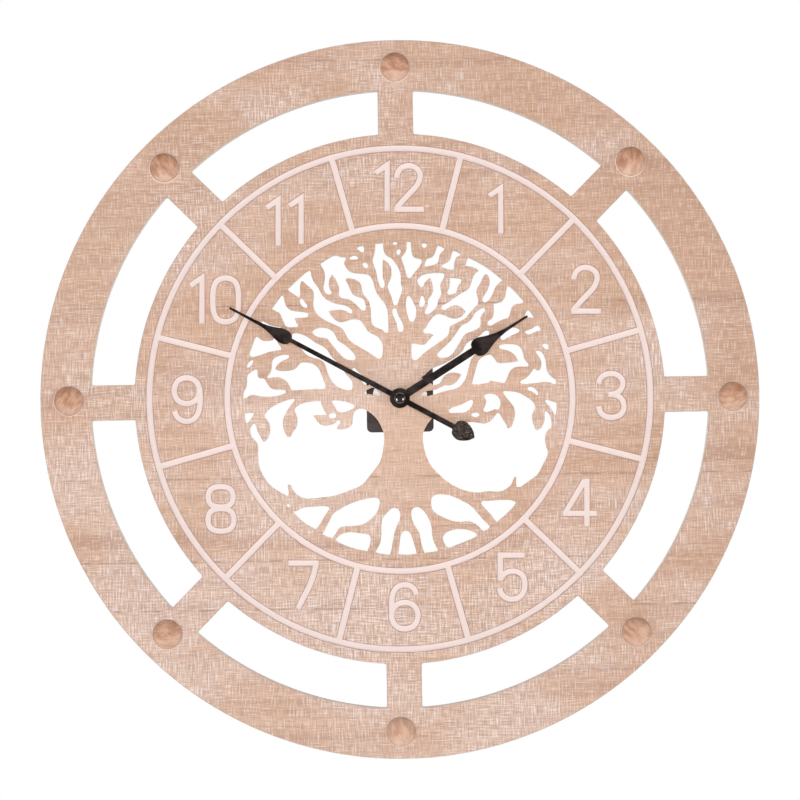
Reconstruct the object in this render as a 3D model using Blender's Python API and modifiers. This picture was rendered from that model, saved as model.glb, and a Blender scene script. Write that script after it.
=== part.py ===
"""Round fretwork wall clock: a tree of life cut through one flat wooden board.

Everything hangs on one empty, wall_frame. In that frame X runs to the right and Y up, as one
looks at the dial, and Z comes forward from the wall, so the clock is modelled lying on its back
with the dial's axis as Z. The empty stands it up against the wall: forward becomes -Y in the
world, and the world origin is where the hanger bears on its nail. Lengths are metres.
"""

import math

import bmesh
import bpy
from mathutils import Matrix, Vector

MM = 0.001
SEAT = 0.3 * MM            # gap between pieces that touch
OVERRUN = 1.0 * MM         # how far a cut runs past the face it opens
MERGE = 0.01 * MM          # doubles closer than this are one point
FRAME_NAME = "wall_frame"
C = "corner"               # marks a picked point that stays sharp

# Dial board
BOARD_RADIUS = 300.0 * MM
BOARD_THICK = 8.0 * MM
BOARD_STEPS = 96
RIM_WIDTH = 42.8 * MM
WINDOW_HEIGHT = 36.0 * MM
WINDOW_STEPS = 9
SPOKES = 8
SPOKE_WIDTH = 29.5 * MM
ARBOR_HOLE_RADIUS = 4.6 * MM
TREE_RADIUS = 131.5 * MM
STEP_TURN = math.radians(38.0)
PICK_LEAN = math.radians(-0.9)   # the tree was picked leaning; this stands it upright
SHARE = 0.001                    # the picked points are thousandths of the tree's radius

# Engraved lines
GROOVE_WIDTH = 5.0 * MM
GROOVE_DEPTH = 1.2 * MM
GROOVE_SLOPE = 0.35 * MM
GROOVE_STEPS = 72
OUTER_GROOVE_INSET = 12.5 * MM    # from the windows to the middle of the outer ring groove
INNER_GROOVE_MARGIN = 12.4 * MM   # from the tree to the middle of the inner ring groove
HOURS = 12

# Rim buttons
BUTTON_RADIUS = 12.15 * MM
BUTTON_EDGE = 1.0 * MM
BUTTON_CROWN = 5.2 * MM
BUTTON_INSET = 23.0 * MM           # from the board's edge to the middle of a button
BUTTON_STEPS = 20

# Quartz movement
CASE_SIDE = 56.0 * MM
CASE_DEPTH = 16.5 * MM
CASE_WALL = 1.4 * MM
CASE_CORNER = 4.0 * MM
CASE_CORNER_STEPS = 4
PAD_STEPS = 40
COVER_THICK = 1.4 * MM
BUSH_RADIUS = 4.0 * MM
BUSH_BORE = 2.9 * MM
BUSH_PROUD = 0.8 * MM
RUBBER_RADIUS = 9.0 * MM
RUBBER_THICK = 1.0 * MM
PAD_RADIUS = 23.0 * MM
PAD_THICK = 1.5 * MM
WASHER_RADIUS = 7.6 * MM
WASHER_THICK = 0.8 * MM
NUT_FLATS = 12.0 * MM
NUT_THICK = 2.4 * MM
ROUND_STEPS = 24

# Hands
HAND_THICK = 0.6 * MM
HUB_RADIUS = 8.3 * MM
HUB_STEPS = 18
HOUR_LENGTH = 126.3 * MM
MINUTE_LENGTH = 160.4 * MM
TAIL_LENGTH = 70.0 * MM
HOUR_HALF_WIDTH = 7.8 * MM
MINUTE_HALF_WIDTH = 6.1 * MM
TAIL_HALF_WIDTH = 8.3 * MM
HAND_SPACE = 1.2 * MM
TUBE_RADIUS = 2.55 * MM
ARBOR_RADIUS = 1.2 * MM
SHOWN_HOUR_ANGLE = math.radians(-58.1)
SHOWN_MINUTE_ANGLE = math.radians(-298.8)
CAP_RADIUS = 4.6 * MM
CAP_HEIGHT = 3.6 * MM
CAP_BORE_DEPTH = 1.4 * MM
CAP_SKIRT_SHARE = 0.3
DOME_SHARES = (0.0, 0.35, 0.7, 1.0)
TUBE_STEPS = 18
TUBE_PLAY = 0.3 * MM

# Wheel train
MOTION_MODULE = 0.5 * MM
TRAIN_MODULE = 0.55 * MM
CANNON_TEETH = 12
MINUTE_TEETH = 36
MINUTE_PINION_TEETH = 10
HOUR_TEETH = 40
SETTING_TEETH = 12
CENTRE_TEETH = 36
THIRD_PINION_TEETH = 6
THIRD_TEETH = 30
MIDDLE_PINION_TEETH = 6
MIDDLE_TEETH = 18
ROTOR_PINION_TEETH = 6
WHEEL_THICK = 0.8 * MM
LAYER_STEP = 1.3 * MM
PIN_RADIUS = 0.6 * MM
PIN_STEPS = 10
MINUTE_WHEEL_BEARING = math.radians(150.0)
SETTING_BEARING = math.radians(90.0)
THIRD_BEARING = math.radians(30.0)
MIDDLE_BEARING = math.radians(60.0)
ROTOR_BEARING = math.radians(90.0)
PIVOT_PLAY = 0.05 * MM

# Setting knob
KNOB_RADIUS = 5.6 * MM
KNOB_THICK = 2.2 * MM
KNOB_SUNK = 0.5 * MM
KNOB_TEETH = 20
KNOB_TOOTH_DEPTH = 0.5 * MM
KNOB_LAND_SHARE = 0.5

# Stepper motor
MAGNET_RADIUS = 2.4 * MM
MAGNET_THICK = 2.6 * MM
STATOR_THICK = 0.8 * MM
STATOR_LEFT = 3.5 * MM
STATOR_RIGHT = 24.2 * MM
STATOR_LOW = -8.0 * MM
STATOR_HIGH = 25.6 * MM
STATOR_BAR = 2.4 * MM
STATOR_TOP_BAR = 8.6 * MM
ROTOR_AIR_GAP = 0.4 * MM
COIL_RADIUS = 2.6 * MM
COIL_BORE = 1.6 * MM
FLANGE_RADIUS = 3.1 * MM
FLANGE_THICK = 0.8 * MM
COIL_HALF_LENGTH = 7.0 * MM
COIL_Y = 3.0 * MM
COIL_STEPS = 16
CIRCUIT_THICK = 0.6 * MM
CIRCUIT_LEFT = 17.5 * MM
CIRCUIT_RIGHT = 26.0 * MM
CIRCUIT_LOW = -10.0 * MM
CIRCUIT_HIGH = 18.0 * MM

# Battery bay
CELL_RADIUS = 7.1 * MM
CELL_LENGTH = 49.0 * MM
CELL_TIP_RADIUS = 2.7 * MM
CELL_TIP = 1.2 * MM
CELL_STEPS = 20
CELL_TURNED_END = 0.6 * MM
BAY_WALL = 0.8 * MM
CONTACT_THICK = 0.4 * MM
CONTACT_WIDTH = 8.0 * MM
CONTACT_HEIGHT = 11.0 * MM
SPRING_BULGE = 0.8 * MM

# Hanger loop
HANGER_WIDTH = 22.0 * MM
HANGER_RISE = 9.0 * MM
HANGER_CORNER = 5.0 * MM
HANGER_THICK = 1.8 * MM
HANGER_RIM = 2.6 * MM
HANGER_FOOT_WIDTH = 27.0 * MM
HANGER_FOOT_HEIGHT = 2.0 * MM
NAIL_SLOT_HALF_WIDTH = 5.0 * MM
NAIL_SLOT_HEIGHT = 4.6 * MM
NAIL_CORNER_SHARE = 0.45

# Radii that follow the board's edge and the tree
WINDOW_OUTER = BOARD_RADIUS - RIM_WIDTH
WINDOW_INNER = WINDOW_OUTER - WINDOW_HEIGHT
OUTER_GROOVE_RADIUS = WINDOW_INNER - OUTER_GROOVE_INSET
INNER_GROOVE_RADIUS = TREE_RADIUS + INNER_GROOVE_MARGIN
BUTTON_RING = BOARD_RADIUS - BUTTON_INSET

# Levels, counted forward from the wall
CASE_BACK = COVER_THICK + SEAT
RUBBER_LEVEL = CASE_DEPTH + SEAT
PAD_LEVEL = RUBBER_LEVEL + RUBBER_THICK + SEAT
BOARD_LEVEL = PAD_LEVEL + PAD_THICK + SEAT
BOARD_FACE = BOARD_LEVEL + BOARD_THICK
WASHER_LEVEL = BOARD_FACE + SEAT
NUT_LEVEL = WASHER_LEVEL + WASHER_THICK + SEAT
BUSH_END = NUT_LEVEL + NUT_THICK + BUSH_PROUD
HOUR_HAND_LEVEL = BUSH_END + HAND_SPACE
TUBE_END = HOUR_HAND_LEVEL + HAND_THICK
MINUTE_HAND_LEVEL = TUBE_END + HAND_SPACE
ARBOR_END = MINUTE_HAND_LEVEL + HAND_THICK + CAP_BORE_DEPTH
CASE_FRONT_WALL = CASE_DEPTH - CASE_WALL
HOUR_WHEEL_LEVEL = CASE_FRONT_WALL - SEAT - WHEEL_THICK
MINUTE_WHEEL_LEVEL = HOUR_WHEEL_LEVEL - LAYER_STEP
CENTRE_WHEEL_LEVEL = MINUTE_WHEEL_LEVEL - LAYER_STEP
THIRD_WHEEL_LEVEL = CENTRE_WHEEL_LEVEL - LAYER_STEP
MIDDLE_WHEEL_LEVEL = THIRD_WHEEL_LEVEL - LAYER_STEP
MAGNET_LEVEL = MIDDLE_WHEEL_LEVEL - SEAT - MAGNET_THICK
STATOR_LEVEL = MAGNET_LEVEL + (MAGNET_THICK - STATOR_THICK) / 2
PIN_BACK = COVER_THICK / 2
PIN_FRONT = CASE_DEPTH - CASE_WALL / 2
HANGER_LEVEL = COVER_THICK + SEAT
KNOB_LEVEL = KNOB_SUNK

# Places that follow from the sizes above, in the clock's frame
CASE_HALF = CASE_SIDE / 2
INNER_HALF = CASE_HALF - CASE_WALL
CELL_Y = CELL_RADIUS + SEAT - INNER_HALF
CELL_LEVEL = CASE_FRONT_WALL - SEAT - CELL_RADIUS
BAY_TOP = CELL_Y + CELL_RADIUS + SEAT
TRAIN_FLOOR = BAY_TOP + BAY_WALL
NAIL_Y = CASE_HALF + HANGER_RISE - HANGER_RIM
HOUR_MODULE = MOTION_MODULE * (CANNON_TEETH + MINUTE_TEETH) / (MINUTE_PINION_TEETH + HOUR_TEETH)

# Shape of the hands: share of the length along the hand, and share of the widest half width
HOUR_HAND_SHARES = (
    (0.06, 0.38), (0.574, 0.385), (0.584, 0.70), (0.602, 0.93), (0.625, 1.0), (0.652, 0.93),
    (0.685, 0.71), (0.724, 0.49), (0.765, 0.31), (0.831, 0.175), (0.926, 0.125), (0.99, 0.08),
)
MINUTE_HAND_SHARES = (
    (0.05, 0.36), (0.637, 0.29), (0.645, 0.62), (0.660, 0.88), (0.684, 1.0), (0.711, 0.90),
    (0.744, 0.60), (0.775, 0.37), (0.811, 0.235), (0.86, 0.19), (0.93, 0.145), (0.993, 0.09),
)
TAIL_SHARES = (
    (0.11, 0.27), (0.714, 0.27), (0.735, 0.64), (0.775, 0.90), (0.825, 1.0), (0.875, 0.91),
    (0.92, 0.72), (0.965, 0.44), (0.992, 0.20),
)
TIP_SHARE = 1.0

# Where the buttons were glued by hand: degrees round from twelve, and share of their ring's radius
BUTTON_PLACE_SHARES = (
    (0.0, 1.002), (44.85, 1.001), (90.35, 1.001), (135.5, 0.998),
    (180.7, 1.0), (226.0, 0.996), (271.1, 1.002), (315.5, 0.997),
)

# Tooth shape, in modules above and below the pitch circle and in pitches across
TOOTH_TIP_SHARE = 0.75
TOOTH_ROOT_SHARE = 1.25
TOOTH_FLAT_SHARE = 0.055
MESH_SLACK = 0.06 * MM

# Openings between the branches and roots, each picked round its edge
BRANCH_SHARES = (
    # Crown, from the left round to the right
    ((-817, 568, C), (-757, 652), (-741, 653, C), (-733, 615), (-717, 578), (-690, 561), (-645, 553),
     (-600, 548), (-583, 540), (-585, 521), (-603, 513), (-667, 509, C), (-660, 485), (-644, 455, C),
     (-690, 451), (-722, 458), (-737, 480), (-752, 515), (-765, 542), (-790, 556)),
    ((-713, 697, C), (-660, 748), (-605, 797), (-578, 813), (-566, 803), (-562, 775), (-545, 737),
     (-520, 705), (-502, 668), (-478, 638), (-440, 615), (-395, 601), (-350, 593), (-320, 576),
     (-303, 556), (-306, 541), (-322, 542), (-345, 556), (-380, 563), (-420, 559), (-453, 556, C),
     (-445, 538), (-420, 508), (-395, 490), (-360, 487), (-320, 501), (-285, 505), (-255, 497),
     (-235, 478), (-220, 452), (-205, 430), (-180, 413), (-145, 396), (-125, 375), (-112, 345),
     (-108, 310), (-112, 275), (-122, 254), (-135, 252), (-155, 262), (-200, 292), (-250, 322),
     (-300, 352), (-325, 375), (-343, 405), (-360, 435), (-385, 455), (-450, 483), (-500, 512),
     (-530, 540), (-547, 575), (-552, 602), (-549, 635), (-548, 668), (-558, 692), (-585, 715),
     (-612, 740), (-622, 744), (-630, 735), (-635, 700), (-633, 660), (-638, 643, C), (-655, 648),
     (-680, 667), (-700, 678)),
    ((-637, 628), (-622, 634), (-608, 615), (-589, 590), (-592, 576), (-612, 580), (-628, 595),
     (-635, 611)),
    ((-507, 858, C), (-470, 882), (-430, 905), (-405, 910), (-375, 901), (-345, 898, C), (-344, 883),
     (-353, 866), (-351, 847), (-335, 823), (-315, 806), (-285, 798), (-240, 795), (-200, 786),
     (-180, 765), (-168, 735), (-160, 705), (-147, 670), (-120, 635), (-97, 605), (-82, 570),
     (-75, 520), (-73, 460), (-77, 420), (-91, 417), (-110, 434), (-145, 448), (-168, 463),
     (-180, 487), (-183, 530), (-186, 580), (-198, 618), (-215, 641, C), (-232, 660), (-240, 690),
     (-245, 715), (-255, 735), (-275, 750), (-305, 761), (-338, 762), (-343, 750), (-330, 725),
     (-318, 697), (-305, 670), (-285, 654), (-255, 644), (-232, 632), (-223, 613), (-216, 583),
     (-221, 559), (-236, 557), (-255, 572), (-280, 597), (-305, 618), (-330, 630), (-360, 634),
     (-380, 645), (-388, 666), (-386, 700), (-393, 725), (-405, 752), (-420, 775), (-430, 787, C),
     (-441, 772), (-450, 745), (-452, 715), (-443, 690), (-434, 676), (-438, 664), (-450, 660),
     (-467, 665), (-482, 685), (-487, 711), (-480, 745), (-477, 785), (-484, 815), (-497, 838)),
    ((-273, 955), (-263, 966), (-245, 970), (-232, 967), (-227, 950), (-230, 931), (-242, 929),
     (-260, 940)),
    ((-322, 894), (-312, 903), (-298, 910), (-280, 908), (-267, 897), (-269, 885), (-290, 882),
     (-318, 883)),
    ((-235, 862), (-222, 867), (-208, 857), (-203, 840), (-212, 827), (-225, 832), (-236, 847)),
    ((-157, 985, C), (-108, 990, C), (-106, 960), (-100, 930), (-83, 910), (-55, 893), (-33, 868),
     (-13, 838), (0, 805), (6, 770), (6, 733), (14, 700), (10, 672), (-3, 635), (-15, 600),
     (-26, 591), (-38, 595), (-46, 618), (-55, 650), (-68, 680), (-78, 706), (-72, 735), (-60, 760),
     (-53, 795), (-56, 830), (-72, 856), (-92, 873), (-108, 883, C), (-111, 840), (-109, 770),
     (-98, 740), (-98, 712), (-107, 702), (-122, 706), (-135, 735), (-145, 775), (-153, 812),
     (-165, 845), (-174, 878), (-164, 915), (-157, 950)),
    ((-45, 988), (-37, 998), (-22, 997), (-17, 985), (-27, 975), (-40, 977)),
    ((-22, 935), (-15, 949), (-1, 950), (6, 938), (2, 922), (-8, 912), (-19, 917)),
    ((-47, 562), (-35, 576), (-23, 570), (-17, 545), (-3, 517), (12, 490), (22, 460), (22, 435),
     (10, 423), (-7, 424), (-14, 445), (-20, 475), (-33, 507), (-45, 535)),
    ((45, 999, C), (68, 998, C), (72, 955), (78, 915), (95, 896), (130, 888), (139, 878), (135, 855),
     (115, 825), (90, 797), (73, 770), (58, 762), (47, 772), (37, 805), (25, 845), (12, 880),
     (12, 902), (30, 925), (42, 950), (44, 975)),
    ((138, 977), (145, 988), (162, 988), (172, 976), (167, 962), (153, 957), (142, 964)),
    ((233, 955), (243, 971), (262, 968), (285, 955, C), (280, 942), (265, 930), (252, 910),
     (248, 887), (243, 868), (230, 855), (205, 846), (175, 839), (161, 840), (157, 852), (165, 875),
     (175, 890), (205, 900), (218, 914), (226, 932)),
    ((335, 936), (347, 940), (366, 932), (385, 920, C), (380, 908), (360, 897), (349, 878),
     (344, 855), (342, 824), (330, 817), (305, 822), (275, 830), (267, 840), (275, 854), (305, 869),
     (320, 885), (328, 908)),
    ((437, 897, C), (490, 871), (550, 836), (605, 795), (655, 752, C), (635, 738), (610, 712),
     (597, 682), (583, 652), (562, 622), (543, 610), (528, 614), (525, 631), (540, 660), (558, 690),
     (569, 725), (570, 755), (560, 780), (545, 788), (530, 775), (517, 745), (500, 715), (488, 690),
     (490, 662), (497, 635), (496, 605), (480, 583), (458, 560), (438, 537), (420, 513), (395, 497),
     (365, 480), (335, 467), (318, 455), (314, 430), (307, 405), (285, 382), (245, 353), (200, 323),
     (160, 293), (125, 262), (105, 244), (86, 244), (76, 260), (74, 300), (74, 350, C), (98, 350),
     (125, 343), (155, 343), (175, 360), (195, 385), (215, 405, C), (190, 411), (155, 413, C),
     (148, 432), (165, 450), (178, 475), (197, 502), (215, 523), (240, 537), (275, 533), (310, 518),
     (350, 508), (385, 518), (405, 535), (417, 550, C), (400, 570), (370, 588), (345, 591),
     (315, 580), (290, 562), (272, 562), (264, 577), (275, 594), (310, 613), (350, 643), (390, 670),
     (425, 688), (445, 710), (457, 745), (467, 775), (482, 797), (500, 812, C), (480, 828),
     (450, 837), (415, 843, C), (422, 865)),
    ((535, 577), (542, 562), (527, 540), (514, 518), (514, 485), (507, 455), (485, 437), (450, 423),
     (417, 410), (400, 390), (383, 360), (363, 327), (343, 297), (322, 272), (295, 260), (255, 259),
     (240, 270), (242, 288), (265, 312), (300, 342), (330, 373), (355, 410), (375, 440), (395, 465),
     (430, 483), (460, 510), (475, 540), (497, 560), (520, 573)),
    ((138, 132), (160, 150), (180, 171), (205, 191), (240, 206), (280, 221), (325, 245), (370, 275),
     (397, 300), (411, 325), (422, 347), (440, 362), (470, 376), (495, 390), (515, 405), (535, 425),
     (555, 433), (569, 425), (565, 405), (545, 370), (520, 332), (495, 298), (465, 266), (450, 240),
     (441, 210), (432, 170), (420, 130), (400, 98), (375, 73), (340, 57), (290, 47), (250, 35),
     (200, 20), (165, 13), (137, 15), (137, 29), (160, 45), (200, 51), (235, 59), (265, 73),
     (285, 83), (310, 83), (340, 90), (362, 108), (380, 132), (391, 150, C), (370, 160), (335, 164),
     (305, 157), (282, 142), (266, 120), (256, 100), (235, 88), (213, 84), (196, 96), (175, 112),
     (155, 122)),
    ((458, 90, C), (500, 88), (540, 97), (563, 100, C), (576, 112), (600, 107), (635, 101), (663, 99),
     (678, 120), (692, 157), (708, 183), (735, 199), (775, 202), (808, 203), (820, 214), (805, 235),
     (790, 258), (784, 290), (772, 320), (745, 340), (710, 346), (660, 345), (637, 338), (630, 325),
     (645, 313), (680, 306), (710, 292), (735, 268), (752, 237, C), (700, 230), (650, 225),
     (620, 230), (603, 252), (585, 273), (565, 278), (530, 265), (505, 245), (490, 215), (478, 170),
     (465, 125)),
    ((638, 388), (652, 407), (675, 432), (700, 450), (725, 452), (757, 441), (762, 430), (745, 415),
     (710, 400), (675, 380), (652, 371)),
    ((797, 425), (812, 434), (840, 443), (862, 459), (880, 463), (893, 452), (892, 434), (862, 425),
     (838, 412), (815, 407), (798, 413)),
    ((594, 602, C), (630, 609), (655, 622), (670, 650), (676, 685), (685, 713), (700, 712, C),
     (740, 673), (772, 636), (785, 617), (772, 604), (740, 600), (718, 588), (705, 562), (698, 530),
     (690, 511, C), (655, 502), (620, 486), (585, 465), (567, 462), (557, 475), (567, 495),
     (585, 508), (594, 530), (597, 565)),
    ((793, 528), (803, 548), (815, 562), (830, 552), (851, 517), (845, 512), (820, 515), (796, 515)),
    ((905, 336), (911, 347), (927, 350), (943, 343), (947, 325), (940, 311), (926, 313), (912, 324)),
    ((864, 296), (880, 304), (900, 297), (918, 272), (929, 240), (932, 200), (942, 165), (965, 138),
     (992, 120, C), (994, 103), (982, 90), (955, 100), (920, 105), (870, 99), (820, 93), (785, 91),
     (765, 100), (770, 113), (800, 127), (825, 152), (843, 178), (858, 190), (873, 180), (885, 178),
     (896, 198), (897, 230), (888, 258), (872, 280)),
    ((810, 60), (820, 72), (840, 73), (860, 63), (876, 45), (880, 28), (872, 20), (857, 30),
     (834, 45), (815, 52)),
    # Inner crown above the trunk
    ((110, 750), (125, 771), (145, 786), (180, 796), (220, 800), (262, 800), (281, 794), (282, 778),
     (272, 755), (260, 733), (257, 708), (262, 685), (264, 665), (253, 645), (244, 625), (238, 598),
     (228, 574), (210, 556), (188, 539), (165, 535), (157, 545), (166, 568), (176, 593), (178, 620),
     (186, 640), (202, 658), (212, 690), (205, 730), (199, 755), (192, 766, C), (172, 751),
     (156, 732), (149, 714), (137, 706), (125, 716), (115, 735)),
    ((317, 765, C), (335, 768), (363, 765), (386, 760), (392, 747), (383, 732), (370, 714),
     (364, 692), (355, 672), (335, 663), (311, 659), (302, 668), (306, 687), (315, 707), (318, 738)),
    ((140, 655), (152, 645), (158, 620), (157, 600), (147, 584), (134, 580), (124, 590), (126, 618),
     (132, 640)),
    ((53, 653), (44, 643), (39, 615), (38, 585), (43, 550), (52, 518), (62, 493), (73, 486),
     (86, 488), (95, 505), (102, 530), (105, 556), (100, 582), (88, 608), (77, 628), (67, 648)),
    # Left side
    ((-997, 3, C), (-994, 40), (-977, 72), (-973, 110), (-968, 150), (-945, 168), (-918, 184),
     (-905, 178), (-903, 150), (-895, 130), (-865, 126), (-850, 107), (-835, 83), (-815, 63),
     (-780, 55), (-737, 54), (-724, 42), (-740, 27), (-785, 14), (-840, 10), (-885, 12), (-930, 22),
     (-957, 16), (-977, 0)),
    ((-974, 203), (-968, 223), (-950, 240), (-936, 243), (-933, 229), (-944, 210), (-958, 197),
     (-969, 195)),
    ((-957, 282), (-945, 320), (-932, 358), (-918, 390), (-906, 393), (-893, 380), (-875, 369),
     (-845, 366), (-815, 371), (-795, 382), (-782, 366), (-770, 343), (-752, 316), (-757, 307),
     (-785, 304), (-830, 295), (-875, 279), (-915, 266), (-946, 266)),
    ((-880, 489), (-850, 479), (-825, 466), (-790, 459), (-757, 452), (-757, 440), (-782, 432),
     (-820, 440), (-855, 462)),
    ((-690, 400), (-670, 415), (-640, 413), (-600, 398), (-565, 375), (-535, 353), (-500, 337),
     (-475, 320), (-455, 297), (-440, 272), (-424, 253), (-398, 230), (-368, 203), (-350, 181),
     (-351, 165), (-335, 145), (-312, 120), (-302, 100), (-302, 62), (-315, 52), (-350, 55),
     (-390, 70), (-420, 95), (-445, 130), (-460, 165), (-470, 200), (-485, 230), (-510, 247),
     (-550, 257), (-585, 272), (-610, 295), (-630, 320), (-655, 347), (-680, 372)),
    ((-200, 83), (-196, 95), (-207, 117), (-236, 145), (-266, 170), (-286, 191), (-300, 192),
     (-302, 180), (-284, 155), (-260, 132), (-243, 113), (-235, 97), (-217, 85)),
    ((-224, 30), (-216, 48), (-203, 57), (-180, 67), (-158, 65), (-140, 48), (-124, 28), (-121, 15),
     (-150, 17), (-195, 27)),
    ((-557, 425), (-545, 438), (-525, 447), (-495, 451), (-460, 445), (-435, 430), (-415, 410),
     (-405, 388), (-395, 370), (-372, 354), (-345, 336), (-318, 313), (-297, 290), (-284, 268),
     (-283, 249), (-297, 243), (-325, 244), (-348, 252), (-372, 272), (-400, 301), (-418, 325),
     (-437, 349), (-453, 369), (-472, 383), (-505, 386), (-532, 396), (-550, 409)),
    ((-710, 275), (-703, 263), (-715, 252), (-745, 238), (-770, 220), (-785, 200), (-788, 185),
     (-765, 176), (-725, 175), (-690, 180), (-665, 190), (-650, 206), (-636, 223), (-605, 230),
     (-570, 225), (-540, 212), (-515, 187), (-500, 155), (-488, 122), (-475, 90), (-472, 68),
     (-480, 60, C), (-540, 59), (-610, 54), (-680, 51), (-693, 60), (-705, 85), (-720, 107),
     (-745, 126), (-775, 135), (-805, 133), (-835, 128), (-843, 140), (-832, 152), (-820, 175),
     (-815, 205), (-813, 235), (-803, 254), (-780, 267), (-745, 277)),
    ((-987, -100), (-975, -94), (-935, -93), (-930, -104), (-943, -125), (-960, -150), (-972, -157),
     (-982, -145)),
    ((-435, -20), (-420, -12), (-380, -15), (-340, -22), (-310, -33), (-290, -45), (-293, -60),
     (-325, -78), (-355, -88), (-385, -86), (-402, -75), (-415, -48)),
    ((-454, -110), (-445, -98), (-425, -94), (-408, -99), (-403, -112), (-415, -125), (-440, -126)),
    # Right side
    ((310, -80), (320, -66), (355, -51), (390, -40), (425, -22), (455, -9), (466, -20), (460, -42),
     (445, -66), (425, -83), (390, -92), (340, -92), (315, -90)),
    ((454, -106), (465, -94), (485, -90), (501, -95), (505, -107), (493, -116), (472, -118)),
    ((535, 8), (545, 24), (572, 31), (603, 26), (627, 8), (640, -20), (637, -50), (628, -70),
     (600, -70), (575, -80), (545, -87), (530, -75), (540, -50), (548, -22), (543, -3)),
    ((923, -18), (930, -9), (947, -10), (970, -20), (997, -27, C), (998, -60), (992, -102),
     (982, -103), (968, -78), (948, -48), (930, -31)),
    # The two large openings beside the trunk
    ((-240, -64), (-275, -72), (-295, -98), (-300, -130), (-303, -160), (-318, -180), (-345, -192),
     (-378, -197), (-401, -195, C), (-395, -178), (-382, -162), (-380, -148), (-392, -140),
     (-408, -154), (-435, -167), (-475, -173), (-505, -165), (-530, -138), (-547, -112),
     (-540, -107, C), (-463, -105, C), (-478, -83), (-490, -60), (-498, -35), (-503, -15, C),
     (-560, -19), (-600, -26), (-635, -38), (-660, -54), (-670, -75), (-662, -97), (-653, -122),
     (-652, -155), (-660, -186), (-678, -210), (-690, -232), (-702, -246), (-718, -238),
     (-732, -210), (-742, -172), (-742, -140), (-732, -112), (-716, -80), (-698, -50), (-676, -25),
     (-668, -8), (-685, -3), (-730, -15), (-785, -38), (-830, -66), (-855, -95), (-861, -112),
     (-847, -134), (-833, -155), (-825, -195), (-831, -232), (-848, -264), (-864, -275),
     (-878, -255), (-900, -216), (-912, -180), (-920, -162), (-935, -164), (-948, -184),
     (-953, -208), (-945, -238), (-925, -265), (-908, -284), (-902, -310), (-902, -360),
     (-900, -412), (-890, -450), (-866, -497), (-835, -542), (-800, -572), (-760, -597),
     (-730, -614), (-712, -617), (-705, -605), (-706, -585), (-711, -562), (-707, -548),
     (-695, -553), (-682, -577), (-667, -599), (-640, -622), (-605, -636), (-545, -636),
     (-480, -627), (-410, -617), (-355, -598), (-300, -577), (-255, -558), (-220, -528),
     (-178, -474), (-148, -436), (-124, -397), (-108, -340), (-100, -280), (-101, -230),
     (-112, -195), (-137, -145), (-165, -111), (-205, -80)),
    ((657, 43), (690, 46), (735, 42), (775, 28), (815, 4), (840, -15), (856, -37), (860, -58),
     (850, -83), (841, -108), (843, -142), (855, -175), (866, -198), (885, -197), (905, -175),
     (917, -145), (919, -112), (920, -87), (933, -83), (950, -100), (961, -128), (965, -165),
     (958, -190), (940, -203), (927, -230), (924, -270), (932, -310), (942, -340), (932, -378),
     (900, -440), (870, -489), (820, -525), (775, -558), (750, -564), (739, -553), (738, -520),
     (735, -498), (727, -504), (717, -527), (707, -548), (680, -573), (650, -588), (610, -593),
     (560, -590), (500, -598), (440, -592), (380, -573), (330, -548), (280, -513), (235, -470),
     (200, -430), (170, -372), (152, -310), (145, -250), (150, -212), (170, -172), (200, -132),
     (225, -120), (300, -146), (370, -168), (430, -152), (480, -152), (530, -160), (565, -151),
     (595, -123), (614, -98), (627, -90, C), (640, -105), (655, -133), (675, -162), (688, -190),
     (702, -187), (717, -158), (728, -122), (730, -85), (720, -50), (700, -24), (678, 3), (662, 25)),
    # Between the roots
    ((-719, -680), (-710, -670), (-699, -676), (-700, -688), (-712, -691)),
    ((-673, -722), (-655, -714), (-620, -698), (-590, -690), (-540, -687), (-500, -683), (-458, -686),
     (-447, -698), (-460, -720), (-480, -750), (-500, -785), (-517, -812), (-535, -832, C),
     (-600, -797), (-655, -747)),
    ((-492, -863, C), (-475, -833), (-457, -795), (-438, -760), (-420, -730), (-395, -713),
     (-350, -686), (-300, -663), (-250, -646), (-190, -633), (-152, -630), (-132, -642),
     (-128, -668), (-140, -710), (-158, -740), (-185, -767), (-220, -793), (-265, -808),
     (-330, -813), (-370, -816), (-392, -832), (-412, -866), (-430, -889, C), (-465, -877)),
    ((-405, -900), (-393, -880), (-365, -859), (-325, -850), (-280, -852), (-240, -857),
     (-205, -862), (-190, -873), (-185, -900), (-192, -935), (-207, -970, C), (-260, -962),
     (-320, -945), (-385, -917)),
    ((-151, -976), (-140, -950), (-125, -918), (-117, -875), (-117, -805), (-110, -768),
     (-97, -743), (-75, -720), (-55, -702), (-38, -695), (-18, -700), (-2, -718), (3, -742),
     (-2, -770), (-15, -800), (-30, -835), (-42, -885), (-50, -940), (-62, -993, C), (-110, -988)),
    ((-10, -990, C), (-5, -950), (0, -905), (8, -862), (23, -845), (42, -840), (62, -850),
     (75, -875), (90, -925), (103, -965), (108, -986, C), (50, -994)),
    ((157, -982, C), (145, -950), (135, -915), (128, -868), (115, -838), (97, -812), (80, -778),
     (73, -742), (77, -708), (95, -692), (115, -690), (135, -700), (165, -733), (188, -775),
     (202, -822), (205, -870), (217, -915), (237, -953), (240, -967), (200, -976)),
    ((200, -640), (213, -620), (240, -609), (275, -610), (330, -620), (380, -642), (430, -668),
     (465, -695), (495, -730), (525, -767), (560, -801), (571, -815), (560, -830), (535, -841),
     (515, -830), (495, -807), (465, -788), (430, -780), (385, -785), (335, -779), (280, -758),
     (235, -734), (210, -710), (200, -678)),
    ((273, -890), (281, -865), (302, -847), (340, -834), (385, -829), (430, -834), (470, -849),
     (488, -866), (478, -881), (440, -898), (380, -923), (325, -945), (303, -947), (285, -922)),
    ((519, -655), (550, -651), (620, -646), (690, -645), (725, -653), (737, -664), (700, -711),
     (660, -749), (614, -788, C), (600, -767), (575, -735), (545, -702), (523, -678)),
)


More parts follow.
